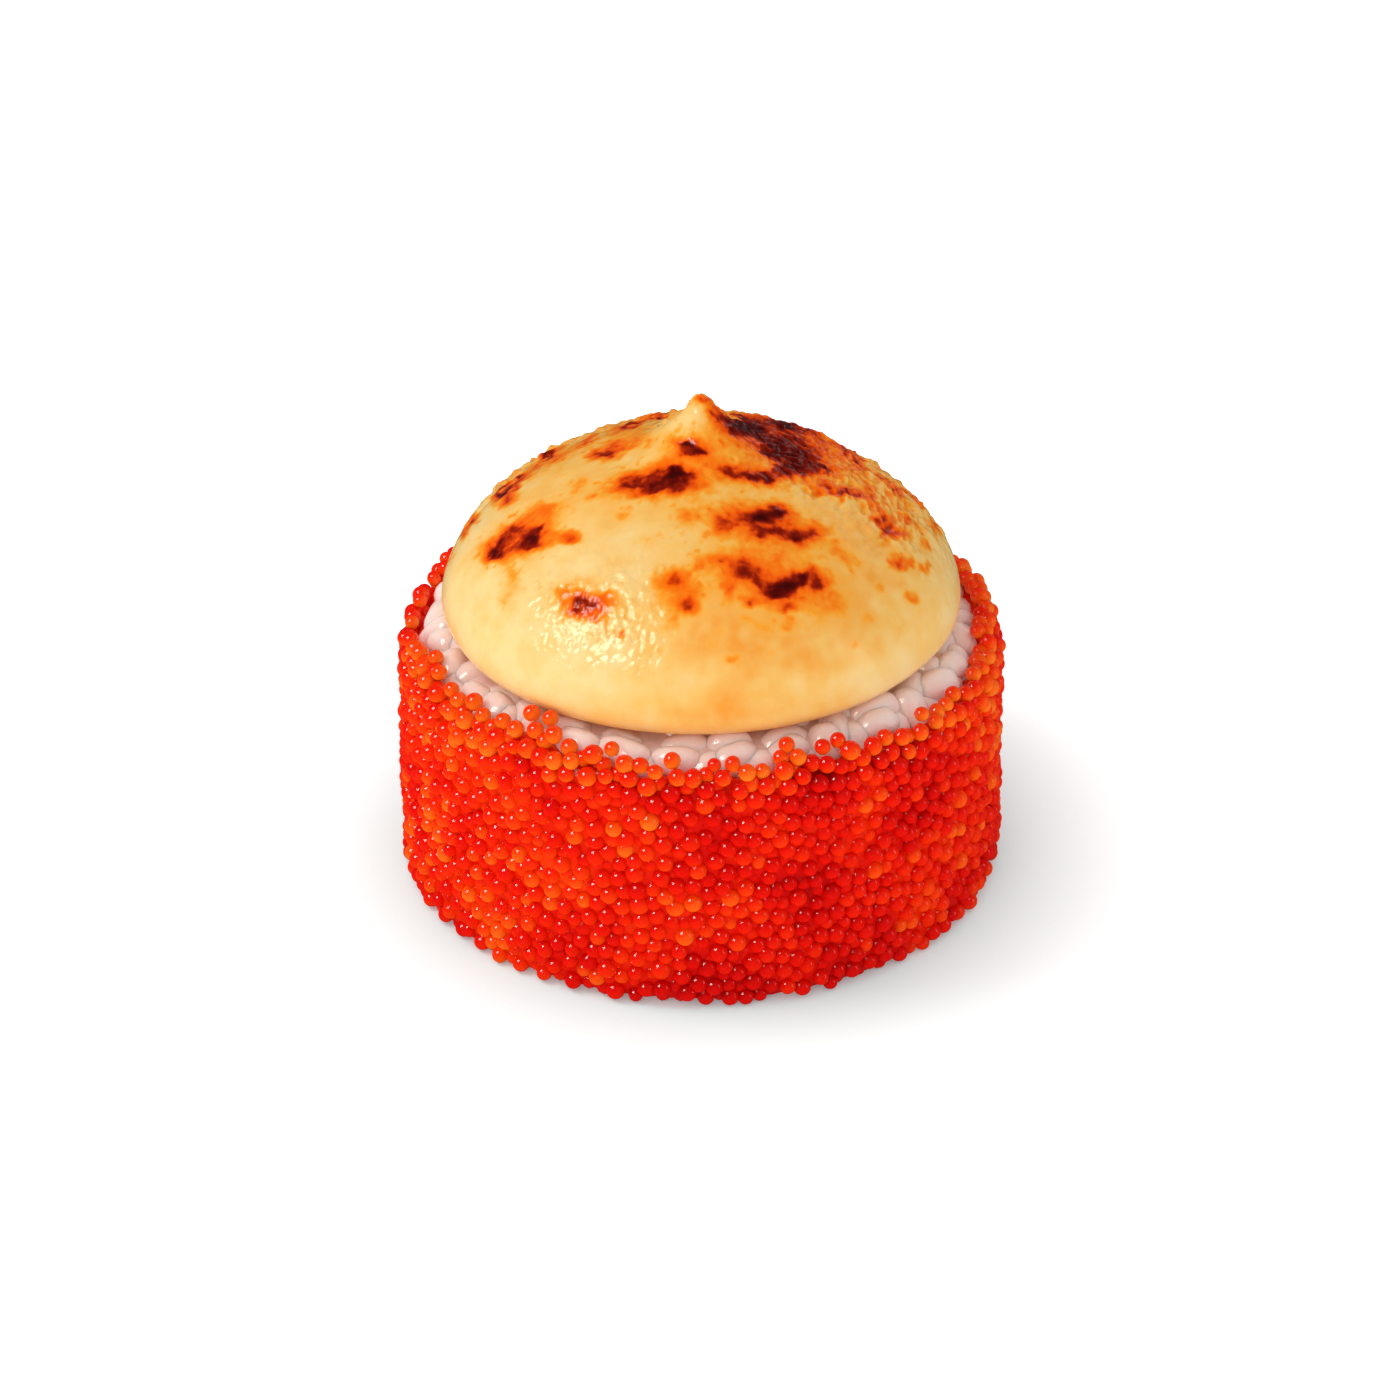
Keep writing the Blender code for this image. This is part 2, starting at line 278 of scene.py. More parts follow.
# %% The form of the cap
def cap_upper_height(r, azimuth):
    """The height of the dome and its peak. It is fuller in front and at the left."""
    fullness = 1.52 - 0.10 * np.cos(2.0 * azimuth) - 0.09 * np.cos(azimuth)
    share = np.clip(r / CAP_RADIUS, 0.0, 1.0)
    dome = (DOME_TOP - CAP_WIDEST) * np.maximum(0.0, 1.0 - share**fullness) ** 0.51
    blunt = 0.45 * MM
    from_tip = (np.hypot(r, blunt) - blunt) / (6.8 * MM)
    return CAP_WIDEST + dome + (TIP_TOP - DOME_TOP) * np.maximum(0.0, 1.0 - from_tip) ** 2.3


def cap_lower_radius(height, azimuth):
    """The radius of the edge that rolls under, below the widest line."""
    sag = (5.4 - 0.9 * np.cos(azimuth)) * MM
    drop = np.minimum(1.0, np.abs(CAP_WIDEST - height) / sag)
    return CAP_RADIUS * np.sqrt(1.0 - drop * drop)


def cap_skin(along, azimuth):
    """Points on the skin. Along runs 0 to 1 over the dome and 1 to 2 down the rolled edge."""
    angle = np.clip(along, 0.0, 1.0) * math.pi / 2.0
    r = CAP_RADIUS * np.sin(angle)
    z = cap_upper_height(r, azimuth)
    low = CAP_WIDEST + (CAP_BOTTOM - CAP_WIDEST) * np.clip(along - 1.0, 0.0, 1.0)
    under = along > 1.0
    r = np.where(under, cap_lower_radius(low, azimuth), r)
    z = np.where(under, low, z)
    lean = np.where(under, 0.0, 2.5 * MM * (1.0 - r / CAP_RADIUS) ** 2)
    return np.stack([r * np.cos(azimuth), r * np.sin(azimuth) + lean, z], axis=-1)


def disc_grid(cells):
    """A square grid laid over a disc: distance from the middle, azimuth and triangles."""
    side = np.linspace(-1.0, 1.0, cells + 1)
    a, b = [part.ravel() for part in np.meshgrid(side, side)]
    wide = np.abs(a) > np.abs(b)
    big = np.where(wide, a, b)
    small = np.where(wide, b, a)
    safe = np.where(big == 0.0, 1.0, big)
    turn = np.where(wide, small / safe * math.pi / 4.0, math.pi / 2.0 - small / safe * math.pi / 4.0)
    azimuth = turn + np.where(big < 0.0, math.pi, 0.0)
    first = (np.arange(cells)[:, None] * (cells + 1) + np.arange(cells)[None, :]).ravel()
    square = np.stack([first, first + 1, first + cells + 2, first + cells + 1], axis=1)
    here = (side[:-1] + side[1:]) / 2.0
    same = (here[:, None] * here[None, :] > 0.0).ravel()
    rising = [square[same][:, [0, 1, 2]], square[same][:, [0, 2, 3]]]
    falling = [square[~same][:, [0, 1, 3]], square[~same][:, [1, 2, 3]]]
    triangles = np.concatenate(rising + falling)
    return np.abs(big), azimuth, triangles


CAP_CELLS = 300
SECTION_STEPS = 800
reach, cap_azimuth, cap_triangles = disc_grid(CAP_CELLS)
steps = np.linspace(0.0, 2.0, SECTION_STEPS)
section = cap_skin(steps, np.full(SECTION_STEPS, -math.pi / 2.0))
lengths = np.concatenate([[0.0], np.cumsum(np.linalg.norm(np.diff(section, axis=0), axis=1))])
cap_along = np.interp(reach**1.06 * lengths[-1], lengths, steps)
cap_points = cap_skin(cap_along, cap_azimuth)
print("the cap's skin is", round(lengths[-1] * 1000, 1), "mm from the peak to its edge")

# %% [markdown]
# ## Where the torch has browned it
#
# The marks are what makes this cap this cap, so they are listed one by one: each is an oval on the
# plane that faces the viewer, given by its place, half length, half width, turn and strength. Halos
# are weak and wide, burnt cores small and strong. Noise bends their edges and breaks them up, as the
# flame does, and scatters freckles round them. The back can't be seen from the front, so it gets a
# list of its own, which takes over at the ridge.

# %% Marks of the torch
VIEW_TILT = math.radians(31.05)
VIEW_REACH = 300.0
VIEW_MIDDLE = 12.5
FRONT_MARKS = [
    # on the peak
    (0.2, 26.2, 0.67, 0.34, 0, 0.5), (1.0, 25.1, 0.76, 0.34, -60, 0.36), (1.8, 24.7, 0.84, 0.42, -35, 0.4),
    # the black patch right of the peak
    (6.2, 22.6, 4.72, 2.02, -24, 0.5), (3.1, 23.9, 1.60, 0.76, -15, 0.95),
    (4.7, 23.4, 1.52, 0.67, -25, 0.8), (6.6, 24.1, 1.43, 0.51, -12, 0.8),
    (6.2, 21.9, 1.18, 0.59, -25, 0.75), (7.7, 21.5, 2.19, 0.76, -18, 0.86),
    (8.1, 22.6, 2.19, 0.67, -28, 0.62), (10.2, 20.4, 1.35, 0.42, -12, 0.66),
    (8.4, 20.3, 1.69, 0.59, 0, 0.72), (8.9, 23.4, 2.19, 0.51, -32, 0.55),
    # among the ripples at the upper right
    (12.7, 20.6, 3.71, 1.52, -38, 0.36), (13.2, 21.1, 0.76, 0.25, -25, 0.45),
    (13.7, 20.3, 0.76, 0.25, -30, 0.45), (14.8, 19.7, 0.76, 0.25, -35, 0.48),
    (11.9, 22.2, 1.86, 0.42, -35, 0.45), (16.2, 18.5, 1.69, 0.67, -50, 0.36),
    # below the peak
    (-0.7, 22.2, 2.19, 1.10, 0, 0.36), (-0.7, 22.2, 1.27, 0.51, -8, 0.74), (-1.4, 22.4, 0.42, 0.25, 0, 0.8),
    (0.1, 21.8, 0.42, 0.25, 0, 0.8),
    # the dark mark below the peak, to the left
    (-3.3, 19.3, 3.54, 1.35, 6, 0.48), (-2.0, 20.0, 1.27, 0.51, 0, 0.98),
    (-3.9, 19.3, 1.86, 0.67, 10, 0.66), (-2.2, 18.9, 2.02, 0.59, 5, 0.62),
    (-6.5, 18.9, 1.35, 0.59, 20, 0.45),
    # the band below the black patch
    (3.7, 20.1, 2.87, 0.76, -12, 0.5), (2.2, 20.2, 0.76, 0.51, 0, 0.66), (3.9, 19.9, 0.84, 0.42, -10, 0.72),
    (5.4, 19.6, 1.01, 0.42, 0, 0.62), (7.2, 20.3, 1.52, 0.59, 20, 0.6),
    # the band to its right
    (11.4, 18.3, 2.87, 0.67, -14, 0.42), (10.5, 18.8, 0.67, 0.34, 0, 0.66),
    (12.1, 18.3, 0.76, 0.34, -10, 0.68), (13.2, 18.1, 0.51, 0.34, 0, 0.7),
    (14.2, 18.7, 0.59, 0.34, -20, 0.55), (14.2, 17.8, 0.76, 0.34, -30, 0.45),
    # the upper of two dark marks at the right
    (5.8, 15.8, 5.06, 1.86, -10, 0.42), (5.2, 16.6, 1.10, 0.59, 0, 0.95), (6.7, 16.8, 0.76, 0.51, 0, 0.92),
    (5.7, 15.2, 1.18, 0.51, 0, 0.72), (7.8, 14.9, 1.18, 0.51, -12, 0.75), (9.4, 15.0, 0.84, 0.67, 0, 0.58),
    (3.3, 16.3, 1.18, 0.51, 5, 0.56), (1.8, 15.6, 1.01, 0.67, 0, 0.46), (11.7, 13.4, 1.69, 0.51, -50, 0.22),
    # the lower of the two
    (6.8, 10.8, 4.72, 2.19, -18, 0.42), (3.6, 12.0, 1.27, 0.93, 0, 0.64), (1.6, 12.7, 0.84, 0.59, 0, 0.48),
    (4.7, 10.9, 1.01, 0.51, -30, 0.6), (7.1, 10.4, 1.69, 0.67, 18, 0.95), (8.8, 11.4, 0.76, 0.51, 30, 0.9),
    (6.7, 9.6, 0.84, 0.42, 0, 0.85), (9.9, 10.8, 0.67, 0.84, 0, 0.64), (7.3, 8.7, 0.67, 0.34, 0, 0.55),
    (4.0, 9.3, 0.59, 0.34, 0, 0.66), (2.4, 10.4, 0.67, 0.84, 0, 0.3),
    # the orange mark in the middle
    (-1.7, 10.0, 1.86, 2.19, -60, 0.34), (-2.5, 11.1, 0.93, 0.76, 0, 0.48),
    (-1.0, 9.0, 0.84, 0.67, 0, 0.56),
    # the red mark in the wet skin
    (-9.7, 9.2, 2.70, 1.52, -10, 0.4), (-10.0, 9.2, 1.05, 0.65, -10, 0.50),
    (-8.8, 9.0, 0.90, 0.60, 20, 0.45), (-10.5, 8.3, 0.67, 0.42, 0, 0.4), (-9.1, 7.7, 1.18, 0.51, -40, 0.34),
    (-6.8, 6.3, 0.51, 0.34, -30, 0.42),
    # the mark at the left
    (-15.4, 14.4, 3.21, 1.35, 24, 0.44), (-14.3, 14.7, 0.76, 0.76, 0, 0.84),
    (-13.5, 15.4, 0.59, 0.42, 60, 0.66), (-17.6, 13.3, 0.76, 0.59, 25, 0.84),
    (-17.0, 14.3, 1.01, 0.42, 50, 0.66), (-15.7, 15.4, 0.67, 0.51, 40, 0.6),
    (-15.3, 14.0, 1.35, 0.59, 20, 0.52), (-13.6, 16.8, 2.02, 0.59, 18, 0.36),
    (-11.7, 14.6, 1.35, 0.42, 0, 0.34), (-10.8, 14.6, 0.51, 0.34, 0, 0.42),
    (-15.9, 11.3, 0.67, 1.52, 14, 0.2), (-16.5, 9.3, 0.59, 0.84, 0, 0.16),
    # at the upper left
    (-8.2, 21.8, 1.10, 0.51, 15, 0.66), (-6.8, 22.3, 2.36, 0.51, 18, 0.42),
    (-9.3, 17.9, 0.76, 0.51, 0, 0.2), (-10.4, 18.9, 1.01, 0.59, 25, 0.2), (-6.5, 16.3, 0.76, 0.51, 0, 0.22),
    (-1.3, 16.4, 1.18, 0.67, 0, 0.22), (-5.1, 23.7, 3.37, 0.42, 22, 0.18),
    (-3.9, 20.7, 2.53, 0.42, 15, 0.2),
    # along the left edge
    (-5.5, 24.4, 2.19, 0.34, 24, 0.69), (-3.7, 24.9, 1.01, 0.25, 10, 0.88),
    (-11.6, 21.7, 1.69, 0.42, 28, 0.42), (-12.9, 21.7, 1.01, 0.34, 35, 0.9),
    (-15.6, 19.4, 1.01, 0.34, 35, 0.65), (-16.8, 18.6, 1.01, 0.34, 38, 0.88),
    (-16.4, 17.9, 0.84, 0.42, 35, 0.65), (-19.5, 16.2, 0.84, 0.34, 48, 0.69),
    (-20.2, 15.0, 0.67, 0.34, 60, 0.62), (-21.5, 13.1, 0.67, 0.25, 70, 0.62),
    (-9.4, 22.8, 1.01, 0.25, 25, 0.53), (-14.4, 20.3, 1.18, 0.34, 35, 0.45),
    # along the right edge
    (15.6, 15.5, 2.19, 1.18, -42, 0.4), (15.1, 16.2, 0.76, 0.51, -30, 0.68),
    (15.8, 15.2, 0.67, 0.42, -40, 0.7), (17.0, 15.0, 0.59, 0.42, -40, 0.55),
    (17.6, 16.1, 1.35, 0.42, -40, 0.48), (16.5, 12.4, 0.59, 0.67, 0, 0.55),
    (17.4, 12.5, 0.42, 0.34, 0, 0.45), (18.7, 12.0, 0.76, 0.59, 0, 0.38), (15.2, 10.4, 0.42, 0.42, 0, 0.3),
    (17.7, 9.5, 0.59, 0.59, 0, 0.36), (12.7, 12.6, 0.84, 0.59, 0, 0.22),
    (18.3, 17.6, 1.01, 0.34, -45, 0.55), (17.0, 18.5, 0.84, 0.34, -42, 0.55),
    (19.6, 15.5, 0.76, 0.34, -58, 0.52), (18.9, 14.0, 0.76, 0.42, -50, 0.36),
    # specks
    (2.7, 4.4, 0.67, 0.51, 0, 0.32), (5.1, 7.0, 0.84, 0.59, 0, 0.2), (4.0, 7.8, 0.59, 0.42, 0, 0.22),
    (7.3, 7.1, 0.84, 0.51, 0, 0.18), (5.9, 5.0, 0.59, 0.42, 0, 0.14), (12.8, 5.4, 0.67, 0.42, 0, 0.18),
    (-2.3, 7.4, 0.67, 0.59, 0, 0.16), (-3.9, 5.2, 0.67, 0.51, 0, 0.14), (11.2, 8.8, 1.01, 0.67, 0, 0.2),
    (10.0, 8.0, 0.67, 0.51, 0, 0.18), (1.7, 6.6, 0.59, 0.42, 0, 0.14), (0.9, 5.6, 0.59, 0.42, 0, 0.12),
    (-0.1, 12.7, 0.84, 0.67, 0, 0.16), (-4.3, 14.4, 1.01, 0.67, 0, 0.1), (14.3, 7.7, 0.67, 0.67, 0, 0.14),
    (-5.1, 4.7, 0.84, 0.51, 0, 0.1), (-11.9, 20.3, 1.35, 0.67, 30, 0.12),
]
BACK_MARKS = [
    (-9.4, 12.4, 3.4, 1.5, 5, 0.6), (-8.0, 12.8, 1.6, 0.8, 0, 0.8), (-11.0, 11.6, 1.3, 0.6, 10, 0.65),
    (-6.2, 13.8, 1.3, 0.7, 20, 0.6), (-13.4, 10.9, 1.5, 0.7, 0, 0.5), (-18.4, 10.4, 0.9, 0.5, -20, 0.5),
    (-2.4, 16.0, 1.0, 0.6, 0, 0.5), (4.2, 14.0, 1.2, 0.9, -30, 0.7), (13.6, 11.7, 0.9, 0.5, 10, 0.6),
    (4.0, 11.2, 2.6, 1.2, -10, 0.4), (3.6, 11.5, 1.0, 0.5, -15, 0.75), (-2.0, 9.4, 2.2, 1.0, 10, 0.36),
    (-2.6, 9.6, 0.8, 0.4, 0, 0.66), (9.4, 9.2, 1.6, 0.8, -20, 0.34), (9.0, 9.4, 0.6, 0.4, 0, 0.6),
    (-12.8, 8.2, 1.6, 0.8, 20, 0.3), (-12.5, 8.4, 0.5, 0.35, 0, 0.5), (-6.8, 6.6, 0.9, 0.6, 0, 0.22),
    (1.4, 5.4, 0.7, 0.5, 0, 0.2), (6.6, 5.2, 0.8, 0.5, 0, 0.16), (15.6, 6.8, 0.8, 0.6, 0, 0.2),
]


def on_view_plane(points, turn=1.0):
    """Where points show to a viewer in front, or behind with turn -1: right and up in mm."""
    x, y, z = (points / MM).T
    x, y, z = turn * x, turn * y, z - VIEW_MIDDLE
    depth = VIEW_REACH + y * math.cos(VIEW_TILT) - z * math.sin(VIEW_TILT)
    up = y * math.sin(VIEW_TILT) + z * math.cos(VIEW_TILT)
    return VIEW_REACH * x / depth, VIEW_REACH * up / depth


def oval(right, up, x, y, long, wide, turn):
    """0 in the middle of an oval, 1 on its edge and more outside it."""
    c, s = cos_sin(turn)
    along = ((right - x) * c + (up - y) * s) / long
    across = ((up - y) * c - (right - x) * s) / wide
    return along**2 + across**2


def marks_at(right, up, marks, spread=1.0):
    """How strongly the marks brown each place, from 0 to 1. Spread makes them wider."""
    pale = np.ones(len(right))
    for x, y, long, wide, turn, strength in marks:
        inside = oval(right, up, x, y, long * spread, wide * spread, turn)
        pale *= 1.0 - strength * np.exp(-inside * 0.85)
    return 1.0 - pale


def brownness(points, facing):
    """The torch's browning at each point, with ragged edges."""
    bend_right = 0.42 * noise_at(points, 1.1 * MM) + 0.14 * noise_at(points, 0.45 * MM, 7.0)
    bend_up = 0.42 * noise_at(points, 1.1 * MM, 3.0) + 0.14 * noise_at(points, 0.45 * MM, 11.0)
    right, up = on_view_plane(points)
    front = marks_at(right + bend_right, up + bend_up, FRONT_MARKS)
    haze = marks_at(right, up, FRONT_MARKS, 2.0)
    freckles = ease(0.30, 0.5, noise_at(points, 0.6 * MM, 45.5))
    front += 0.17 * freckles * haze * (1.0 - front)
    right, up = on_view_plane(points, -1.0)
    back = marks_at(right + bend_right, up + bend_up, BACK_MARKS)
    share = ease(0.04, 0.20, facing)
    brown = front * share + back * (1.0 - share)
    patches = noise_at(points, 1.7 * MM, 35.4)
    brown = brown + (0.40 + 0.9 * ease(0.40, 0.15, facing)) * patches * brown * (1.1 - brown)
    grain = noise_at(points, 0.5 * MM, 20.0) + 0.6 * noise_at(points, 0.24 * MM, 30.0)
    return np.clip(brown + 0.34 * grain * brown * (1.15 - brown), 0.0, 1.0)


def corner_normals(points, triangles):
    """The outward direction at each corner."""
    a, b, c = points[triangles[:, 0]], points[triangles[:, 1]], points[triangles[:, 2]]
    flat = np.cross(b - a, c - a)
    total = np.zeros_like(points)
    for corner in range(3):
        np.add.at(total, triangles[:, corner], flat)
    return total / np.maximum(np.linalg.norm(total, axis=1, keepdims=True), 1e-12)


cap_normals = corner_normals(cap_points, cap_triangles)
if cap_normals[len(cap_normals) // 2, 2] < 0.0:
    cap_triangles = cap_triangles[:, ::-1]
    cap_normals = -cap_normals
towards_viewer = np.array([0.0, -math.cos(VIEW_TILT), math.sin(VIEW_TILT)])
cap_facing = cap_normals @ towards_viewer
cap_brown = brownness(cap_points, cap_facing)
print("browned share of the cap:", round(float((cap_brown > 0.3).mean()), 3))

# %% [markdown]
# ## Blisters, ripples and the wet skin
#
# A slow swell keeps the dome from looking turned. The back half and the right side, which took most
# heat, are blistered: bumps about 1 mm apart and 0.2 mm high, which show on the outline. At the
# upper right, ripples run round the dome, and their crests are painted paler, a painted highlight.
# The burnt patch right of the peak is wrinkled like a milk skin. In front the skin is smooth, with
# wet places whose fine waves break the light into small streaks. All of this relief moves real corners.


# %% Relief of the cap
def plan_zone(x, y, reach_x, reach_y, turn=0.0):
    """1 at a place on the view plane, falling to 0 around it."""
    right, up = on_view_plane(cap_points)
    inside = oval(right, up, x, y, reach_x, reach_y, turn)
    return np.exp(-(inside**1.5)) * ease(0.0, 0.15, cap_facing)


height_share = ease(26.0 * MM, 30.0 * MM, cap_points[:, 2])
behind = ease(0.32, 0.05, cap_facing) * (1.0 - 0.5 * ease(0.0, -0.3, cap_facing)) * height_share
rippled = np.clip(plan_zone(12.5, 20.0, 10.0, 5.0, -38.0) * 1.1 + behind, 0.0, 1.0)
burnt = plan_zone(7.0, 22.4, 6.5, 3.2, -24.0)
wet = plan_zone(-8.5, 8.0, 8.5, 6.0, 10.0) + 0.8 * plan_zone(-3.0, 19.5, 5.0, 2.0)
wet = wet + 0.4 * ease(0.25, 0.6, cap_brown)
wet = np.clip(wet, 0.0, 1.0) * (0.55 + 0.45 * ease(-0.25, 0.25, noise_at(cap_points, 1.6 * MM, 75.0)))
hold = np.clip((cap_points[:, 2] - CAP_BOTTOM) / (CAP_WIDEST - CAP_BOTTOM), 0.0, 1.0)

swell = 0.25 * noise_at(cap_points, 9.0 * MM)
blister = 0.22 * noise_at(cap_points, 2.2 * MM, np.array([5.0, 1.0, 3.0])) * height_share
bumps = noise_at(cap_points, 0.75 * MM, 40.3) + 0.2 * noise_at(cap_points, 0.4 * MM, 50.7)
folds = 1.0 - 2.2 * np.abs(noise_at(cap_points, 1.0 * MM, 60.0))
outwards = np.hypot(*cap_points.T[:2]) / (0.6 * MM)
around = np.stack([7.5 * np.cos(cap_azimuth), 7.5 * np.sin(cap_azimuth), outwards], axis=1)
ripples = 1.0 - 2.5 * np.abs(noise_at(around, 1.0, 65.5))
fine = noise_at(cap_points, 0.55 * MM, 70.4) + 0.5 * noise_at(cap_points, 0.33 * MM, 72.6)
knobs = noise_at(cap_points, 1.15 * MM, 55.5)

lift = swell * hold + blister * (0.25 + 0.75 * np.clip(rippled + behind, 0.0, 1.0))
lift += 0.15 * (bumps + ripples) * rippled + (0.18 * bumps + 0.16 * knobs) * behind
lift += 0.15 * folds * burnt
lift += 0.16 * fine * wet
lift += 0.06 * (bumps - 1.0) * ease(0.3, 0.8, cap_brown) * (1.0 - burnt)
cap_points = cap_points + cap_normals * (lift * MM)[:, None]
# Painted highlight: the ripple crests are made paler in colour.
painted_crest_highlights = 0.28 * np.clip(ripples, 0.0, 1.0) * rippled * (1.0 - 0.6 * burnt)
cap_brown = np.clip(cap_brown - painted_crest_highlights, 0.0, 1.0)
print("relief from", round(float(lift.min()), 2), "to", round(float(lift.max()), 2), "mm")

# %% [markdown]
# The flat base is a fan from the grid's edge to one point in the middle. It is hidden by the rice,
# but it closes the skin to a solid.
#
# Warmth sets the sauce's colour from cream to amber: cream at the left, and amber low at the right,
# higher up and behind. Left of the peak it is paler cream, a painted highlight.

# %% The cap as one closed mesh
index = np.arange((CAP_CELLS + 1) ** 2).reshape(CAP_CELLS + 1, CAP_CELLS + 1)
border = np.concatenate([index[0, :-1], index[:-1, -1], index[-1, :0:-1], index[:0:-1, 0]])
middle = len(cap_points)
fan = np.stack([border, np.full(len(border), middle), np.roll(border, -1)], axis=1)
all_points = np.concatenate([cap_points, [[0.0, 0.0, CAP_BOTTOM]]])
test = all_points[fan[0]]
if np.cross(test[1] - test[0], test[2] - test[0])[2] > 0.0:
    fan = fan[:, ::-1]
right, up = on_view_plane(cap_points)
# A zone at the lower right where the sauce's colour turns more amber.
amber_zone = plan_zone(7.0, 8.5, 12.0, 6.5, 12.0)
warmth = 0.06 + 0.88 * amber_zone + 0.35 * ease(2.5, -0.5, up)
warmth += 0.52 * ease(11.0, 18.0, up) * ease(-20.0, -15.0, right)
warmth += 0.25 * plan_zone(2.0, 0.5, 4.5, 2.2)
# Painted highlight: paler cream on the lit left of the peak.
warmth -= 0.4 * plan_zone(-1.8, 24.6, 2.2, 1.6)
warmth += (
    0.10 * noise_at(cap_points, 4.0 * MM, 80.0)
    + 0.30 * amber_zone * noise_at(cap_points, 1.1 * MM, 85.0)
)
warmth += 0.5 * ease(0.28, 0.0, cap_facing) * height_share
CREAM = [(0.0, (0.93, 0.66, 0.28)), (0.5, (0.93, 0.53, 0.135)), (1.0, (0.92, 0.36, 0.045))]
TOAST = [
    (0.0, (0.95, 0.58, 0.15)), (0.18, (0.97, 0.38, 0.03)),
    (0.33, (0.98, 0.21, 0.005)), (0.45, (0.98, 0.15, 0.002)),
    (0.57, (0.80, 0.068, 0.001)), (0.69, (0.34, 0.014, 0.001)),
    (0.82, (0.13, 0.003, 0.001)), (1.0, (0.035, 0.001, 0.001)),
]


def cheese_material():
    """Cream to amber sauce, with the torch's marks from amber to near black."""
    values = {
        "Roughness": 0.2, "IOR": 1.3, "Subsurface Weight": 0.3,
        "Subsurface Radius": (1.0, 0.6, 0.3), "Subsurface Scale": 0.4 * MM,
    }
    material, nodes, links, shader = new_material("cheese_sauce", values)
    mottle = add_cloud(nodes, 2.2 * MM, 5.0)
    shade = add_math(nodes, links, "MULTIPLY_ADD", mottle, 1.1, -0.55)
    warm_here = add_math(nodes, links, "ADD", add_value(nodes, "warmth"), shade)
    cream = add_ramp(nodes, links, warm_here, CREAM)
    grain = add_cloud(nodes, 0.5 * MM, 3.0)
    uneven = add_math(nodes, links, "MULTIPLY_ADD", grain, 0.24, 0.88)
    level = add_math(nodes, links, "MULTIPLY", add_value(nodes, "brown"), uneven)
    toast = add_ramp(nodes, links, level, TOAST)
    edge = add_math(nodes, links, "MULTIPLY", level, 5.0)
    edge.node.use_clamp = True
    links.new(add_mix(nodes, links, edge, cream, toast), shader.inputs["Base Color"])
    wet = add_value(nodes, "wet")
    links.new(add_math(nodes, links, "MULTIPLY_ADD", wet, -0.11, 0.18), shader.inputs["Roughness"])
    depth = add_math(nodes, links, "MULTIPLY_ADD", wet, 0.75, 0.2)
    height = add_math(nodes, links, "MULTIPLY", add_cloud(nodes, 0.30 * MM), depth)
    links.new(add_bump(nodes, links, height, 0.05 * MM), shader.inputs["Normal"])
    return material


cap = mesh_from_arrays(
    "cheese_cap_skin",
    all_points,
    np.concatenate([cap_triangles, fan]),
    cheese_material(),
    brown=np.append(cap_brown, 0.0),
    warmth=np.append(warmth, 0.8),
    wet=np.append(wet, 0.0),
)
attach(cap, "root")
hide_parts("cheese_cap")

# %% [markdown]
# ## The rim of the roe
#
# The roe is rolled or pressed on by hand, so its upper edge is ragged: single eggs stick up and
# bare rice shows in the dips. The eggs along that edge are placed one by one where they show,
# by their azimuth and how far up the shoulder they sit. At the back the edge follows a wave.

# %% Rim of the roe
RIM_EGGS = [
    (162, 28), (170.5, 24), (177, 15), (-159.5, 49), (-155, 42), (-148.5, 39), (-141, 44),
    (-132, 41), (-127, 63), (-122.5, 65), (-116, 39), (-107.5, 47), (-101.5, 33), (-95.5, 41),
    (-87.5, 37), (-84, 37), (-78.5, 27), (-73, 52), (-66, 42), (-62.5, 45), (-52.5, 31),
    (-42, 36), (-31.5, 33), (-22, 30), (-9, 48), (9.5, 48), (18, 51),
]


def back_rim(azimuth):
    """The edge of the roe at the back, in degrees up the shoulder."""
    angle = 38.0 + 5.0 * math.sin(math.radians(azimuth) * 7.0 + 0.8)
    for place, rise, half_width in ((80.0, 12.0, 7.0), (138.0, 14.0, 6.0)):
        angle += rise * math.exp(-((angle_apart(azimuth, place) / half_width) ** 2))
    return angle


rim_list = [(azimuth % 360.0, angle) for azimuth, angle in RIM_EGGS]
for azimuth in np.arange(25.0, 158.0, 6.6):
    rim_list.append((azimuth, back_rim(azimuth) + chance.uniform(-6.0, 6.0)))
rim_list.sort()
rim_azimuths, rim_angles = np.array(rim_list).T


def rim_angle(azimuth):
    """How far up the shoulder the roe reaches, in degrees from level."""
    return np.interp(azimuth % 360.0, rim_azimuths, rim_angles, period=360.0)


print("rim from", rim_angles.min(), "to", round(float(rim_angles.max()), 1), "degrees up the shoulder")

# %% [markdown]
# ## Where the eggs lie
#
# A coat of roe is one to two eggs thick, and no two eggs lie in the same place twice. Rows of
# bumps would look knitted. So each egg is thrown at the rice like a dart and kept only if it
# doesn't sink into its neighbours. The outermost are thrown first, then deeper ones, which fill
# the dips and shut out the rice. A grid of small cells finds the neighbours quickly.


# %% The outline they lie on
OUTLINE_TOP = 75.0
SHOULDER_LENGTH = SHOULDER_ROUND * math.radians(OUTLINE_TOP)
SIDE_TOP = (RICE_RADIUS, SHOULDER_Z)
SIDE_FOOT = (FOOT_CENTRE[0] + FOOT_ROUND, FOOT_CENTRE[1])
OUTLINE_LENGTH = SHOULDER_LENGTH + (SIDE_TOP[1] - SIDE_FOOT[1]) + FOOT_ROUND * 1.1


def on_round(centre, radius, angle):
    """A point (r, z) on a rounded edge, and its outward direction."""
    c, s = math.cos(angle), math.sin(angle)
    return centre[0] + radius * c, centre[1] + radius * s, c, s


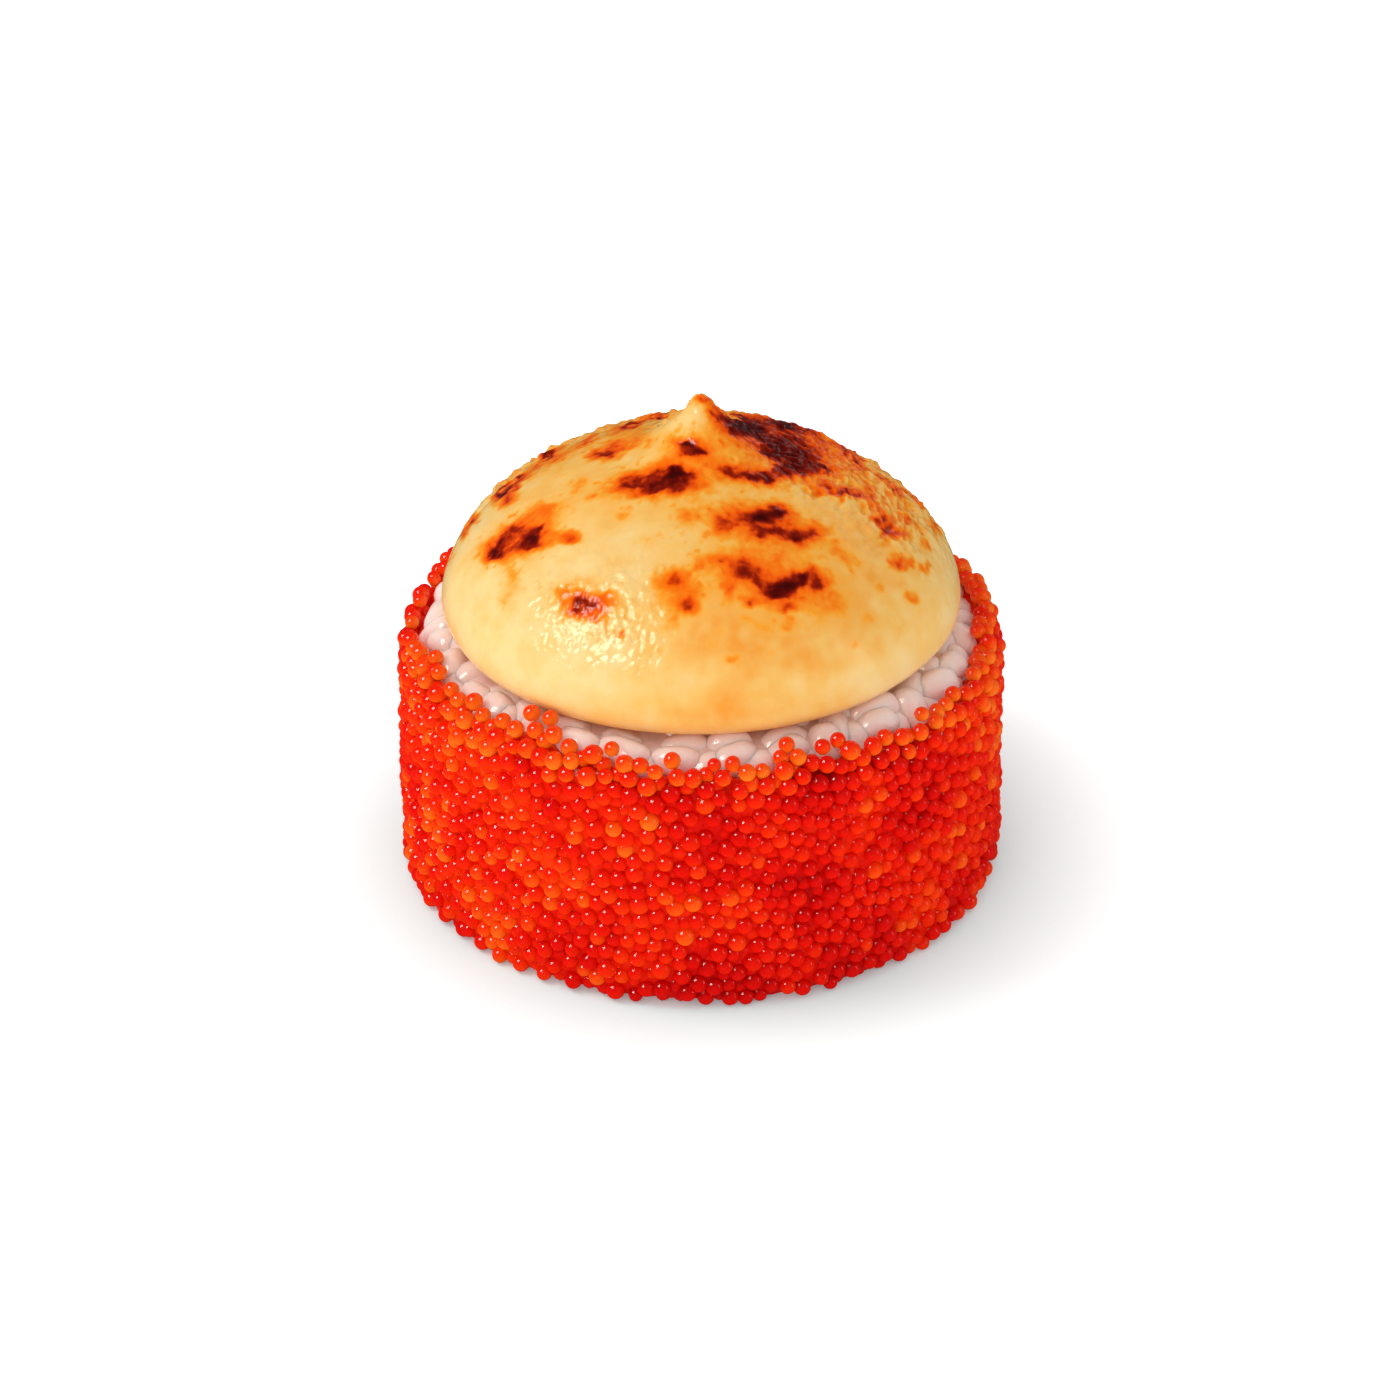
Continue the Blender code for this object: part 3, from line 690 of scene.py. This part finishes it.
def rice_outline(down):
    """A point (r, z) and its outward direction, down the rice from high on its shoulder."""
    side = math.dist(SIDE_TOP, SIDE_FOOT)
    if down < SHOULDER_LENGTH:
        angle = math.radians(OUTLINE_TOP) - down / SHOULDER_ROUND
        return on_round((SHOULDER_R, SHOULDER_Z), SHOULDER_ROUND, angle)
    if down < SHOULDER_LENGTH + side:
        t = (down - SHOULDER_LENGTH) / side
        r, z = [top + (foot - top) * t for top, foot in zip(SIDE_TOP, SIDE_FOOT)]
        return r, z, 1.0, 0.0
    return on_round(FOOT_CENTRE, FOOT_ROUND, -(down - SHOULDER_LENGTH - side) / FOOT_ROUND)


# %% Throwing the eggs
CELL = 1.5 * MM
RIM_OUT = 4.05 * MM
# Each bare spot near the foot: its azimuth in degrees, its height and its radius in mm
BARE_SPOTS = [(-150.0, 3.0, 0.9), (-100.5, 2.2, 0.8), (-34.0, 2.4, 0.8)]
# Each layer: throws, how far out from the rice at least and at most, and the least spacing in mm
EGG_LAYERS = [(40000, 1.15, 1.42, 1.18), (40000, 0.85, 1.15, 1.12), (60000, 0.66, 1.00, 1.02)]
cells = {}
eggs = []


def cell_of(place):
    """The small cell that a place lies in."""
    return tuple(int(math.floor(part / CELL)) for part in place)


def is_free(place, least):
    """True if no egg's centre is nearer than least."""
    i, j, k = cell_of(place)
    for a in (i - 1, i, i + 1):
        for b in (j - 1, j, j + 1):
            for c in (k - 1, k, k + 1):
                for other in cells.get((a, b, c), ()):
                    if math.dist(other, place) < least:
                        return False
    return True


def keep_egg(place, radius, out):
    """Lists an egg: its centre, its radius and how far out from the rice it lies."""
    cells.setdefault(cell_of(place), []).append(place)
    eggs.append((*place, radius, out))


def is_bare(azimuth, r, z):
    """True inside a spot where the roe has rubbed off."""
    return any(
        math.hypot(math.radians(angle_apart(azimuth, middle)) * r, z - height * MM) < reach * MM
        for middle, height, reach in BARE_SPOTS
    )


def egg_size(middle=1.0):
    """A radius drawn for one egg."""
    return EGG_RADIUS * middle * float(np.clip(chance.normal(1.0, 0.07), 0.86, 1.14))


for azimuth, angle in rim_list:
    c, s = cos_sin(angle)
    place = round_axis(azimuth, SHOULDER_R + RIM_OUT * c, SHOULDER_Z + RIM_OUT * s)
    keep_egg(place, egg_size(0.92), RIM_OUT - SHOULDER_ROUND)

for throws, out_low, out_high, least in EGG_LAYERS:
    for azimuth, down, out in zip(
        chance.uniform(0.0, 360.0, throws),
        chance.uniform(0.0, OUTLINE_LENGTH, throws),
        chance.uniform(out_low, out_high, throws) * MM,
    ):
        r, z, across, up = rice_outline(down)
        r, z = r + out * across, z + out * up
        if z > SHOULDER_Z:
            angle = math.degrees(math.atan2(z - SHOULDER_Z, r - SHOULDER_R))
            if angle > rim_angle(azimuth) - 4.0:
                continue
        radius = egg_size()
        if z < radius:
            if z < 0.3 * MM:
                continue
            z = radius
        place = round_axis(azimuth, r, z)
        if not is_bare(azimuth, r, z) and is_free(place, least * MM):
            keep_egg(place, radius, out)
    print("eggs so far:", len(eggs))

# %% [markdown]
# ## The eggs as meshes
#
# An egg is a bead of dyed jelly. All eggs are one ball mesh copied by numpy, each squeezed a
# little its own way. Outer eggs show their round outline, so they get 320 triangles, and the
# deep ones 80. Real eggs are clear, but a pile of clear ones rendered too dark, so the jelly is
# opaque, with short scattering and a clear coat.
#
# Colour is a value on the corners. It drifts from deep red to amber in patches, with more orange
# along the rim, and more at the left and far right, which is painted light. Each egg also has painted
# light: it is lighter on the side away from the lamp, as a clear bead would be, and darker in a spot
# round its highlight. The eggs are sorted by colour into four pieces, so that none is too heavy.


# %% Egg meshes
def ball(subdivisions):
    """A round ball of radius 1 as arrays."""
    body = bmesh.new()
    bmesh.ops.create_icosphere(body, subdivisions=subdivisions, radius=1.0)
    return arrays_of(body)


def lit_side_share(points):
    """0 in front at the right, rising to 1 at the left and to 0.75 at the far right."""
    side = np.cos(np.arctan2(points[:, 1], points[:, 0]) + math.radians(160.0))
    return np.where(side > 0.0, side, -0.75 * side)


def roe_warmth(points):
    """How orange the roe is at each point: in patches, a little more higher up, and more at the left and
    far right, which is painted light.
    """
    side = lit_side_share(points)
    patches = noise_at(points, 6.0 * MM, 90.3) + 0.6 * noise_at(points, 2.6 * MM, 95.6)
    # Painted light: the side term makes the roe more orange at the left and far right, where light falls.
    return 0.25 + (0.36 - 0.14 * side) * patches + 0.28 * side + 0.06 * (points[:, 2] / MM - 10.0) / 10.0


BALLS = {True: ball(3), False: ball(2)}
OUTER_FROM = 0.9 * MM
eggs = np.array(eggs)
outer = eggs[:, 4] > OUTER_FROM
rim_share = ease(19.5 * MM, 21.5 * MM, eggs[:, 2])
# Painted light: side raises the roe's orange at the left and far right.
side = lit_side_share(eggs)
warm = roe_warmth(eggs[:, :3]) + 0.26 * rim_share
warm += (
    chance.uniform(-0.10, 0.10, len(eggs))
    + 0.28 * (chance.uniform(0.0, 1.0, len(eggs)) < 0.10 + 0.08 * side) * outer
)
warm = np.clip(warm, 0.18, 0.88)
KINDS = [("roe_deep_red", 0.25), ("roe_red", 0.28), ("roe_scarlet", 0.27), ("roe_orange", 0.20)]
kinds = np.digitize(warm, np.quantile(warm, np.cumsum([share for _, share in KINDS])[:-1]))
# The way to each egg's painted lighter side, and the way to its highlight, round which a darker spot is
# painted
LIGHT_OUT = np.array([0.42, -0.38, -0.82])
LIGHT_IN = np.array([-0.46, -0.60, 0.66])
JELLY = [
    (0.0, (0.42, 0.001, 0.001)), (0.18, (0.68, 0.002, 0.001)),
    (0.36, (0.80, 0.006, 0.001)), (0.52, (0.89, 0.019, 0.001)),
    (0.68, (0.95, 0.052, 0.002)), (0.84, (0.98, 0.115, 0.005)),
    (1.0, (0.99, 0.190, 0.010)),
]


def roe_material():
    """Dyed jelly from deep red to amber, under a thin clear gloss."""
    values = {
        "Roughness": 0.3, "Specular IOR Level": 0.0,
        "Subsurface Weight": 0.5,
        "Subsurface Radius": (1.0, 0.30, 0.10), "Subsurface Scale": 0.3 * MM,
        "Coat Weight": 0.8, "Coat Roughness": 0.10,
    }
    material, nodes, links, shader = new_material("roe_jelly", values)
    colour = add_ramp(nodes, links, add_value(nodes, "tint"), JELLY)
    links.new(colour, shader.inputs["Base Color"])
    return material


def egg_piece(name, group, warmths, material):
    """One mesh of many eggs. Each has painted light: darker towards the lamp, with a darker spot round its
    highlight, and lighter on the side away from it.
    """
    parts, tints = [], []
    for (x, y, z, radius, out), warm_here in zip(group, warmths):
        unit, faces = BALLS[bool(out > OUTER_FROM)]
        squeeze = 1.0 + chance.uniform(-0.05, 0.05, 3)
        parts.append((unit * squeeze * radius + (x, y, z), faces))
        # Painted light: each egg's colour is lighter on the side away from the lamp, and darker in a spot
        # round its highlight.
        painted_glow = 0.10 + 0.16 * float(ease(18.5 * MM, 20.5 * MM, z))
        spot = ease(0.80, 0.98, unit @ LIGHT_IN)
        tints.append(warm_here + painted_glow * (unit @ LIGHT_OUT) - 0.09 * spot)
    corners, triangles = joined(parts)
    corners[:, 2] = np.maximum(corners[:, 2], 0.0)
    tints = np.clip(np.concatenate(tints), 0.0, 1.0)
    return mesh_from_arrays(name, corners, triangles, material, tint=tints)


roe_jelly = roe_material()
for kind, (name, _) in enumerate(KINDS):
    piece = egg_piece(name, eggs[kinds == kind], warm[kinds == kind], roe_jelly)
    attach(piece, "root")
    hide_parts("roe_coat")
print(len(eggs), "eggs,", int(outer.sum()), "of them outer ones")

# %% [markdown]
# Between the eggs lies the wet jelly of crushed and sunken ones. It fills the gaps with the same
# red, so that no shadow shows there. It is one lumpy ring that follows the rice's outline and ends a
# little below the rim.


# %% The bed between the eggs
BED_COLUMNS, BED_ROWS = 300, 44
bed_points = []
for column in range(BED_COLUMNS):
    azimuth = 360.0 * column / BED_COLUMNS
    start = SHOULDER_ROUND * math.radians(OUTLINE_TOP - (rim_angle(azimuth) - 19.0))
    for row in range(BED_ROWS + 2):
        share = min(1.0, row / (BED_ROWS - 1))
        if row >= BED_ROWS:
            share = 1.0 - (row - BED_ROWS)
        r, z, across, up = rice_outline(start + (OUTLINE_LENGTH - start) * share)
        out = -0.5 if row >= BED_ROWS else 0.2 + 1.08 * min(1.0, share * 14.0, (1.0 - share) * 20.0)
        if 0 < row < BED_ROWS - 1:
            here = Vector(round_axis(azimuth, r, z)) / MM
            out += 0.14 * noise.noise(here / 0.7) + 0.08 * noise.noise(here / 2.0)
        r, z = r + out * MM * across, max(0.04 * MM, z + out * MM * up)
        bed_points.append(round_axis(azimuth, r, z))
loop = BED_ROWS + 2
first = np.arange(BED_COLUMNS * loop).reshape(BED_COLUMNS, loop)
right_hand, below = np.roll(first, -1, axis=0), np.roll(first, -1, axis=1)
corner = np.roll(right_hand, -1, axis=1)
bed_triangles = np.concatenate(
    [
        np.stack([first, below, corner], axis=-1).reshape(-1, 3),
        np.stack([first, corner, right_hand], axis=-1).reshape(-1, 3),
    ]
)
bed_points = np.array(bed_points)
bed_tint = roe_warmth(bed_points) + 0.10 * noise_at(bed_points, 0.9 * MM, 120.0)
bed = mesh_from_arrays("roe_bed", bed_points, bed_triangles, roe_jelly, tint=np.clip(bed_tint, 0.0, 1.0))
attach(bed, "root")
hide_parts("roe_coat")

# %% [markdown]
# ## The rice
#
# The drum is about two thousand pressed grains, of which only those on the shoulder, at the foot
# and on the underside can be seen. Filling the whole drum would cost over 800,000 triangles that
# nobody sees. So the inside is one solid: brown in the gaps by the cap, which is painted shade, pale
# on the shoulder and red under the roe, where the roe colours it. Real grains lie on it: plump ovals
# about 4.5 mm long, bent and dented a little.


# %% The drum's core
def rice_material(name, low, high):
    """Cooked rice: pale, wet and a little see-through."""
    values = {
        "Roughness": 0.3, "Specular IOR Level": 0.0,
        "Subsurface Weight": 0.6,
        "Subsurface Radius": (1.0, 0.7, 0.6), "Subsurface Scale": 0.5 * MM,
        "Coat Weight": 0.6, "Coat Roughness": 0.12,
    }
    material, nodes, links, shader = new_material(name, values)
    colour = add_ramp(nodes, links, add_cloud(nodes, 1.6 * MM), [(0.0, low), (1.0, high)])
    links.new(colour, shader.inputs["Base Color"])
    dent = add_cloud(nodes, 0.7 * MM)
    links.new(add_bump(nodes, links, dent, 0.08 * MM), shader.inputs["Normal"])
    return material


def turned(profile, segments):
    """A closed profile (r, z), from the axis over its outer side back to the axis, turned round Z."""
    corners = [(0.0, 0.0, profile[0][1])]
    for r, z in profile[1:-1]:
        for step in range(segments):
            turn = 2.0 * math.pi * step / segments
            corners.append((r * math.cos(turn), r * math.sin(turn), z))
    corners.append((0.0, 0.0, profile[-1][1]))
    triangles = []
    last = len(corners) - 1
    for step in range(segments):
        after = (step + 1) % segments
        triangles.append((0, 1 + step, 1 + after))
        for ring in range(len(profile) - 3):
            a, b = 1 + ring * segments + step, 1 + ring * segments + after
            c, d = a + segments, b + segments
            triangles += [(a, c, d), (a, d, b)]
        first = 1 + (len(profile) - 3) * segments
        triangles.append((first + step, last, first + after))
    return np.array(corners), np.array(triangles)


sunk = 0.6 * MM
core_top = RICE_TOP - 0.3 * MM
profile = [(0.0, core_top), (10.0 * MM, core_top), (18.0 * MM, RICE_TOP - 0.5 * MM)]
reach = SHOULDER_ROUND - sunk
for angle in range(90, -1, -10):
    c, s = cos_sin(angle)
    profile.append((SHOULDER_R + reach * c, SHOULDER_Z + reach * s - 0.2 * MM))
for step in range(1, 19):
    profile.append((RICE_RADIUS - sunk + 0.3 * MM * step / 18, SHOULDER_Z * (1 - step / 19.0)))
profile += [(RICE_RADIUS - 1.5 * MM, 0.7 * MM), (12.0 * MM, 0.7 * MM), (0.0, 0.7 * MM)]
core_points, core_triangles = turned(profile, 180)
rough = noise_at(core_points, 1.4 * MM, 100.0) * 0.25 * MM
core_points[:, :2] *= (1.0 + rough / RICE_RADIUS)[:, None]
SHADE_AND_STAIN = [(0.0, (0.70, 0.42, 0.31)), (0.5, (0.96, 0.70, 0.62)), (1.0, (0.97, 0.10, 0.04))]


def core_material():
    """The inside between grains: uneven, red under the roe, and brown near the cap, which is painted shade.
    """
    values = {"Roughness": 0.4, "IOR": 1.4, "Subsurface Weight": 0.2, "Subsurface Scale": 0.6 * MM}
    material, nodes, links, shader = new_material("rice_core", values)
    stained = add_ramp(nodes, links, add_value(nodes, "stain"), SHADE_AND_STAIN)
    uneven = [(0.2, (0.7, 0.7, 0.7)), (0.8, (1.0, 1.0, 1.0))]
    dim = add_ramp(nodes, links, add_cloud(nodes, 1.3 * MM), uneven)
    links.new(add_mix(nodes, links, 1.0, stained, dim, "MULTIPLY"), shader.inputs["Base Color"])
    return material


height = core_points[:, 2]
# Painted shade: the core is brown near and under the cap's edge. It is red under the roe and pale on the
# shoulder.
stain = 0.5 * ease(18.9 * MM, 20.0 * MM, np.hypot(core_points[:, 0], core_points[:, 1]))
stain += 0.5 * ease(20.8 * MM, 19.6 * MM, height) * ease(0.9 * MM, 1.6 * MM, height)
core = mesh_from_arrays("rice_core", core_points, core_triangles, core_material(), stain=stain)
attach(core, "root")
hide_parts("rice")


# %% Grains of rice
def grain_shape(length, width, rings, sides):
    """One grain along X: plump, blunt at one end, bent and dented."""
    body = bmesh.new()
    bmesh.ops.create_uvsphere(body, u_segments=sides, v_segments=rings, radius=1.0)
    bmesh.ops.triangulate(body, faces=body.faces)
    corners, triangles = arrays_of(body)
    y, z, x = corners.T
    ball_width = np.maximum(np.sqrt(np.maximum(1.0 - x * x, 1e-9)), 1e-6)
    fat = np.maximum(0.0, 1.0 - np.abs(x) ** 3.0) ** 0.5 / ball_width
    fat = np.clip(fat, 0.0, 1.6) * (1.0 + 0.10 * x)
    y, z = y * fat * width / 2.0, z * fat * width / 2.0
    bend = chance.uniform(0.02, 0.09) * length
    z = z - bend * x * x
    groove = 0.03 * width * np.exp(-((y / (0.16 * width)) ** 2)) * (z > 0)
    grain = np.stack([x * length / 2.0, y, z - groove], axis=1)
    dents = noise_at(grain, 1.2 * MM, float(chance.uniform(0, 50)))
    return grain * (1.0 + 0.05 * dents)[:, None], triangles


def grain_piece(name, places, material, rings=14, sides=16):
    """One mesh of many grains, pressed flat at the board. Each place is a 4x4 matrix."""
    parts = []
    for place in places:
        length = 4.5 * MM * chance.uniform(0.85, 1.12)
        width = 2.75 * MM * chance.uniform(0.92, 1.1)
        points, faces = grain_shape(length, width, rings, sides)
        turn = np.array(place)
        points = points @ turn[:3, :3].T + turn[:3, 3]
        points[:, 2] = np.maximum(points[:, 2], chance.uniform(0.0, 0.12) * MM)
        parts.append((points, faces))
    return mesh_from_arrays(name, *joined(parts), material)


# Each ring: degrees up the shoulder, then depth, spacing and shift towards the axis in mm
GRAIN_RINGS = [(36.0, 1.1, 4.2, 0.0), (56.0, 0.8, 4.1, 0.0), (88.0, 0.85, 4.2, 0.3), (90.0, 1.0, 4.2, 2.6)]
rim_places = []
for angle, sink, step, reach_in in GRAIN_RINGS:
    across = math.cos(math.radians(angle))
    middle_r = SHOULDER_R + (SHOULDER_ROUND - sink * MM) * across - reach_in * MM
    count = round(2.0 * math.pi * middle_r / (step * MM))
    start = chance.uniform(0.0, 360.0)
    for index in range(count):
        turn = math.radians(start + 360.0 * (index + chance.uniform(-0.18, 0.18)) / count)
        tilt = math.radians(angle + chance.uniform(-6.0, 6.0))
        lean = math.radians(chance.normal(0.0, 26.0))
        if chance.uniform() < 0.14:
            lean = math.radians(chance.uniform(55.0, 90.0))
        out = SHOULDER_ROUND - (sink + chance.uniform(-0.15, 0.3)) * MM
        r = SHOULDER_R + out * math.cos(tilt) - reach_in * MM
        z = SHOULDER_Z - 0.35 * MM + out * math.sin(tilt)
        rim_places.append(
            Matrix.Rotation(turn, 4, "Z")
            @ Matrix.Translation((r, 0.0, z))
            @ Matrix.Rotation(math.radians(90.0) - tilt, 4, "Y")
            @ Matrix.Rotation(math.radians(90.0) + lean, 4, "Z")
            @ Matrix.Rotation(chance.uniform(-0.5, 0.5), 4, "X")
        )
# The grains are pale, as rice is; their pink tint is painted red light bounced from the roe.
pale_rice = rice_material("rice_grains", (0.95, 0.69, 0.62), (0.97, 0.77, 0.71))
rim_grains = grain_piece("rice_grains_rim", rim_places, pale_rice)

# %% [markdown]
# A few grains reach through the coat near the foot, where the roe has rubbed off. The underside is
# pressed flat on the board, so its grains are cut level at the floor.

# %% Grains at the foot and underneath
foot_places = []
for azimuth, height_mm, _ in BARE_SPOTS:
    for shift, rise, lean in ((-1.2, 0.5, 20.0), (1.3, -0.3, 65.0), (0.2, 1.6, -35.0)):
        turn = math.radians(azimuth) + shift * MM / RICE_RADIUS
        foot_places.append(
            Matrix.Rotation(turn, 4, "Z")
            @ Matrix.Translation((RICE_RADIUS - 0.25 * MM, 0.0, (height_mm + rise) * MM))
            @ Matrix.Rotation(math.radians(90.0), 4, "Y")
            @ Matrix.Rotation(math.radians(90.0 + lean), 4, "Z")
        )
UNDER_THROWS = 4000
UNDER_SPACING = 2.35 * MM
under_places = []
spots = []
distances = np.sqrt(chance.uniform(0.0, 1.0, UNDER_THROWS)) * 21.6 * MM
turns = chance.uniform(0.0, 2.0 * math.pi, UNDER_THROWS)
for r, turn in zip(distances, turns):
    here = (r * math.cos(turn), r * math.sin(turn))
    if all(math.dist(here, other) > UNDER_SPACING for other in spots):
        spots.append(here)
for x, y in spots:
    flow = 2.5 * noise.noise(Vector((x / (7.0 * MM), y / (7.0 * MM), 4.0)))
    spin = flow + chance.uniform(-0.7, 0.7)
    under_places.append(Matrix.Translation((x, y, 0.9 * MM)) @ Matrix.Rotation(spin, 4, "Z"))
foot_grains = grain_piece("rice_grains_foot", foot_places, pale_rice)
under_grains = grain_piece("rice_grains_under", under_places, pale_rice, 10, 12)
for piece in (rim_grains, foot_grains, under_grains):
    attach(piece, "root")
    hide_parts("rice")
print(len(rim_places), "grains on the shoulder,", len(spots), "underneath")

# %% [markdown]
# ## Floor, light and camera
#
# The piece stands on a white board that glows, which is painted light, and glows less near the piece,
# which is a painted shadow round it. Near the piece it is also tinted against the red that the roe throws
# there.
# A broad lamp at the left and a weak one in front give form and don't show in reflections. Four
# more show in reflections only. The spark lamp gives each egg one highlight and the wet skin its
# glints, and its twin casts no shadow, so that eggs behind others get theirs. One lamp behind and
# one at the right add soft edges. The room is dim in reflections, so that it doesn't grey the red.
#
# The camera looks down at 31 degrees, which fits the photograph's outline. The outline hardly
# changes with the distance, so the 30 cm is a choice.

# %% Floor
bpy.ops.mesh.primitive_plane_add(size=4.0, location=(0.0, 0.0, -0.02 * MM))
floor = bpy.context.object
floor.name = "floor"
board_values = {"Roughness": 0.9, "Specular IOR Level": 0.0, "Emission Strength": 1.0}
board, nodes, links, shader = new_material("white_board", board_values)
place = nodes.new("ShaderNodeTexCoord")
far = nodes.new("ShaderNodeVectorMath")
far.operation = "LENGTH"
links.new(place.outputs["Object"], far.inputs[0])
spread = nodes.new("ShaderNodeMapRange")
spread.inputs["From Min"].default_value = 25.0 * MM
spread.inputs["From Max"].default_value = 42.0 * MM
links.new(far.outputs["Value"], spread.inputs["Value"])
# Painted light: the board glows, and glows less near the piece as a painted shadow round it; near it, its
# cyan tint cancels the red light that the roe throws there.
for socket, near_colour, far_colour in (
    ("Base Color", (0.73, 0.94, 0.94), (0.93, 0.93, 0.93)),
    ("Emission Color", (0.12, 0.16, 0.16), (0.50, 0.50, 0.50)),
):
    colour = add_ramp(nodes, links, spread.outputs["Result"], [(0.0, near_colour), (1.0, far_colour)])
    links.new(colour, shader.inputs[socket])
floor.data.materials.append(board)
floor.visible_glossy = False

# %% Lamps and room
# Each lamp: name, direction, distance, width, height, brightness, colour and what it gives
LAMPS = [
    ("key_lamp", (-0.70, 0.0, 0.71), 0.40, 0.22, 0.22, 3.5, (1.0, 0.98, 0.95), "form"),
    ("front_fill", (-0.30, -0.90, 0.30), 0.45, 0.40, 0.30, 1.1, (1.0, 0.99, 0.97), "form"),
    ("spark_lamp", (-0.60, -0.30, 0.70), 0.40, 0.20, 0.20, 14.0, (1.0, 0.93, 0.84), "shine"),
    ("glint_lamp", (-0.60, -0.30, 0.70), 0.40, 0.20, 0.20, 20.0, (1.0, 0.93, 0.84), "shine"),
    ("back_lamp", (0.45, 0.80, 0.40), 0.40, 0.20, 0.12, 0.8, (1.0, 0.92, 0.88), "shine"),
    ("side_lamp", (0.92, -0.30, 0.25), 0.40, 0.08, 0.30, 2.4, (1.0, 1.0, 1.0), "shine"),
]
for name, direction, reach, width, height, brightness, colour, gives in LAMPS:
    light = bpy.data.lights.new(name, "AREA")
    light.shape = "ELLIPSE"
    light.size = width
    light.size_y = height
    light.energy = brightness * math.pi * math.pi * width * height / 4.0
    light.color = colour
    light.use_shadow = name != "glint_lamp"
    lamp = bpy.data.objects.new(name, light)
    towards = Vector(direction).normalized()
    lamp.location = towards * reach + Vector((0.0, 0.0, 0.02))
    lamp.rotation_euler = towards.to_track_quat("Z", "Y").to_euler()
    lamp.visible_glossy = gives == "shine"
    lamp.visible_diffuse = gives == "form"
    scene.collection.objects.link(lamp)

world = bpy.data.worlds.new("white_room")
scene.world = world
world.use_nodes = True
nodes, links = world.node_tree.nodes, world.node_tree.links
paths = nodes.new("ShaderNodeLightPath")
dim = add_math(nodes, links, "MULTIPLY_ADD", paths.outputs["Is Glossy Ray"], -0.69, 0.74)
bright = add_math(nodes, links, "MULTIPLY_ADD", paths.outputs["Is Camera Ray"], 0.4, dim)
background = nodes["Background"]
background.inputs["Color"].default_value = (1.0, 1.0, 1.0, 1.0)
links.new(bright, background.inputs["Strength"])

# %% Camera
HALF_VIEW = 0.1968
PHOTO_WIDTH = 1400.0
camera_data = bpy.data.cameras.new("camera")
camera = bpy.data.objects.new("camera", camera_data)
scene.collection.objects.link(camera)
scene.camera = camera
camera.location = Vector((0.0, 0.0, VIEW_MIDDLE * MM)) + Vector(towards_viewer) * VIEW_REACH * MM
camera.rotation_euler = Vector(towards_viewer).to_track_quat("Z", "Y").to_euler()
camera_data.angle = 2.0 * math.atan(HALF_VIEW)
camera_data.shift_x = -1.0 / PHOTO_WIDTH
camera_data.shift_y = 10.75 / PHOTO_WIDTH
camera_data.clip_start = 0.01
scene.view_settings.view_transform = "Standard"
scene.cycles.use_denoising = True
scene.cycles.max_bounces = 10
scene.cycles.diffuse_bounces = 6
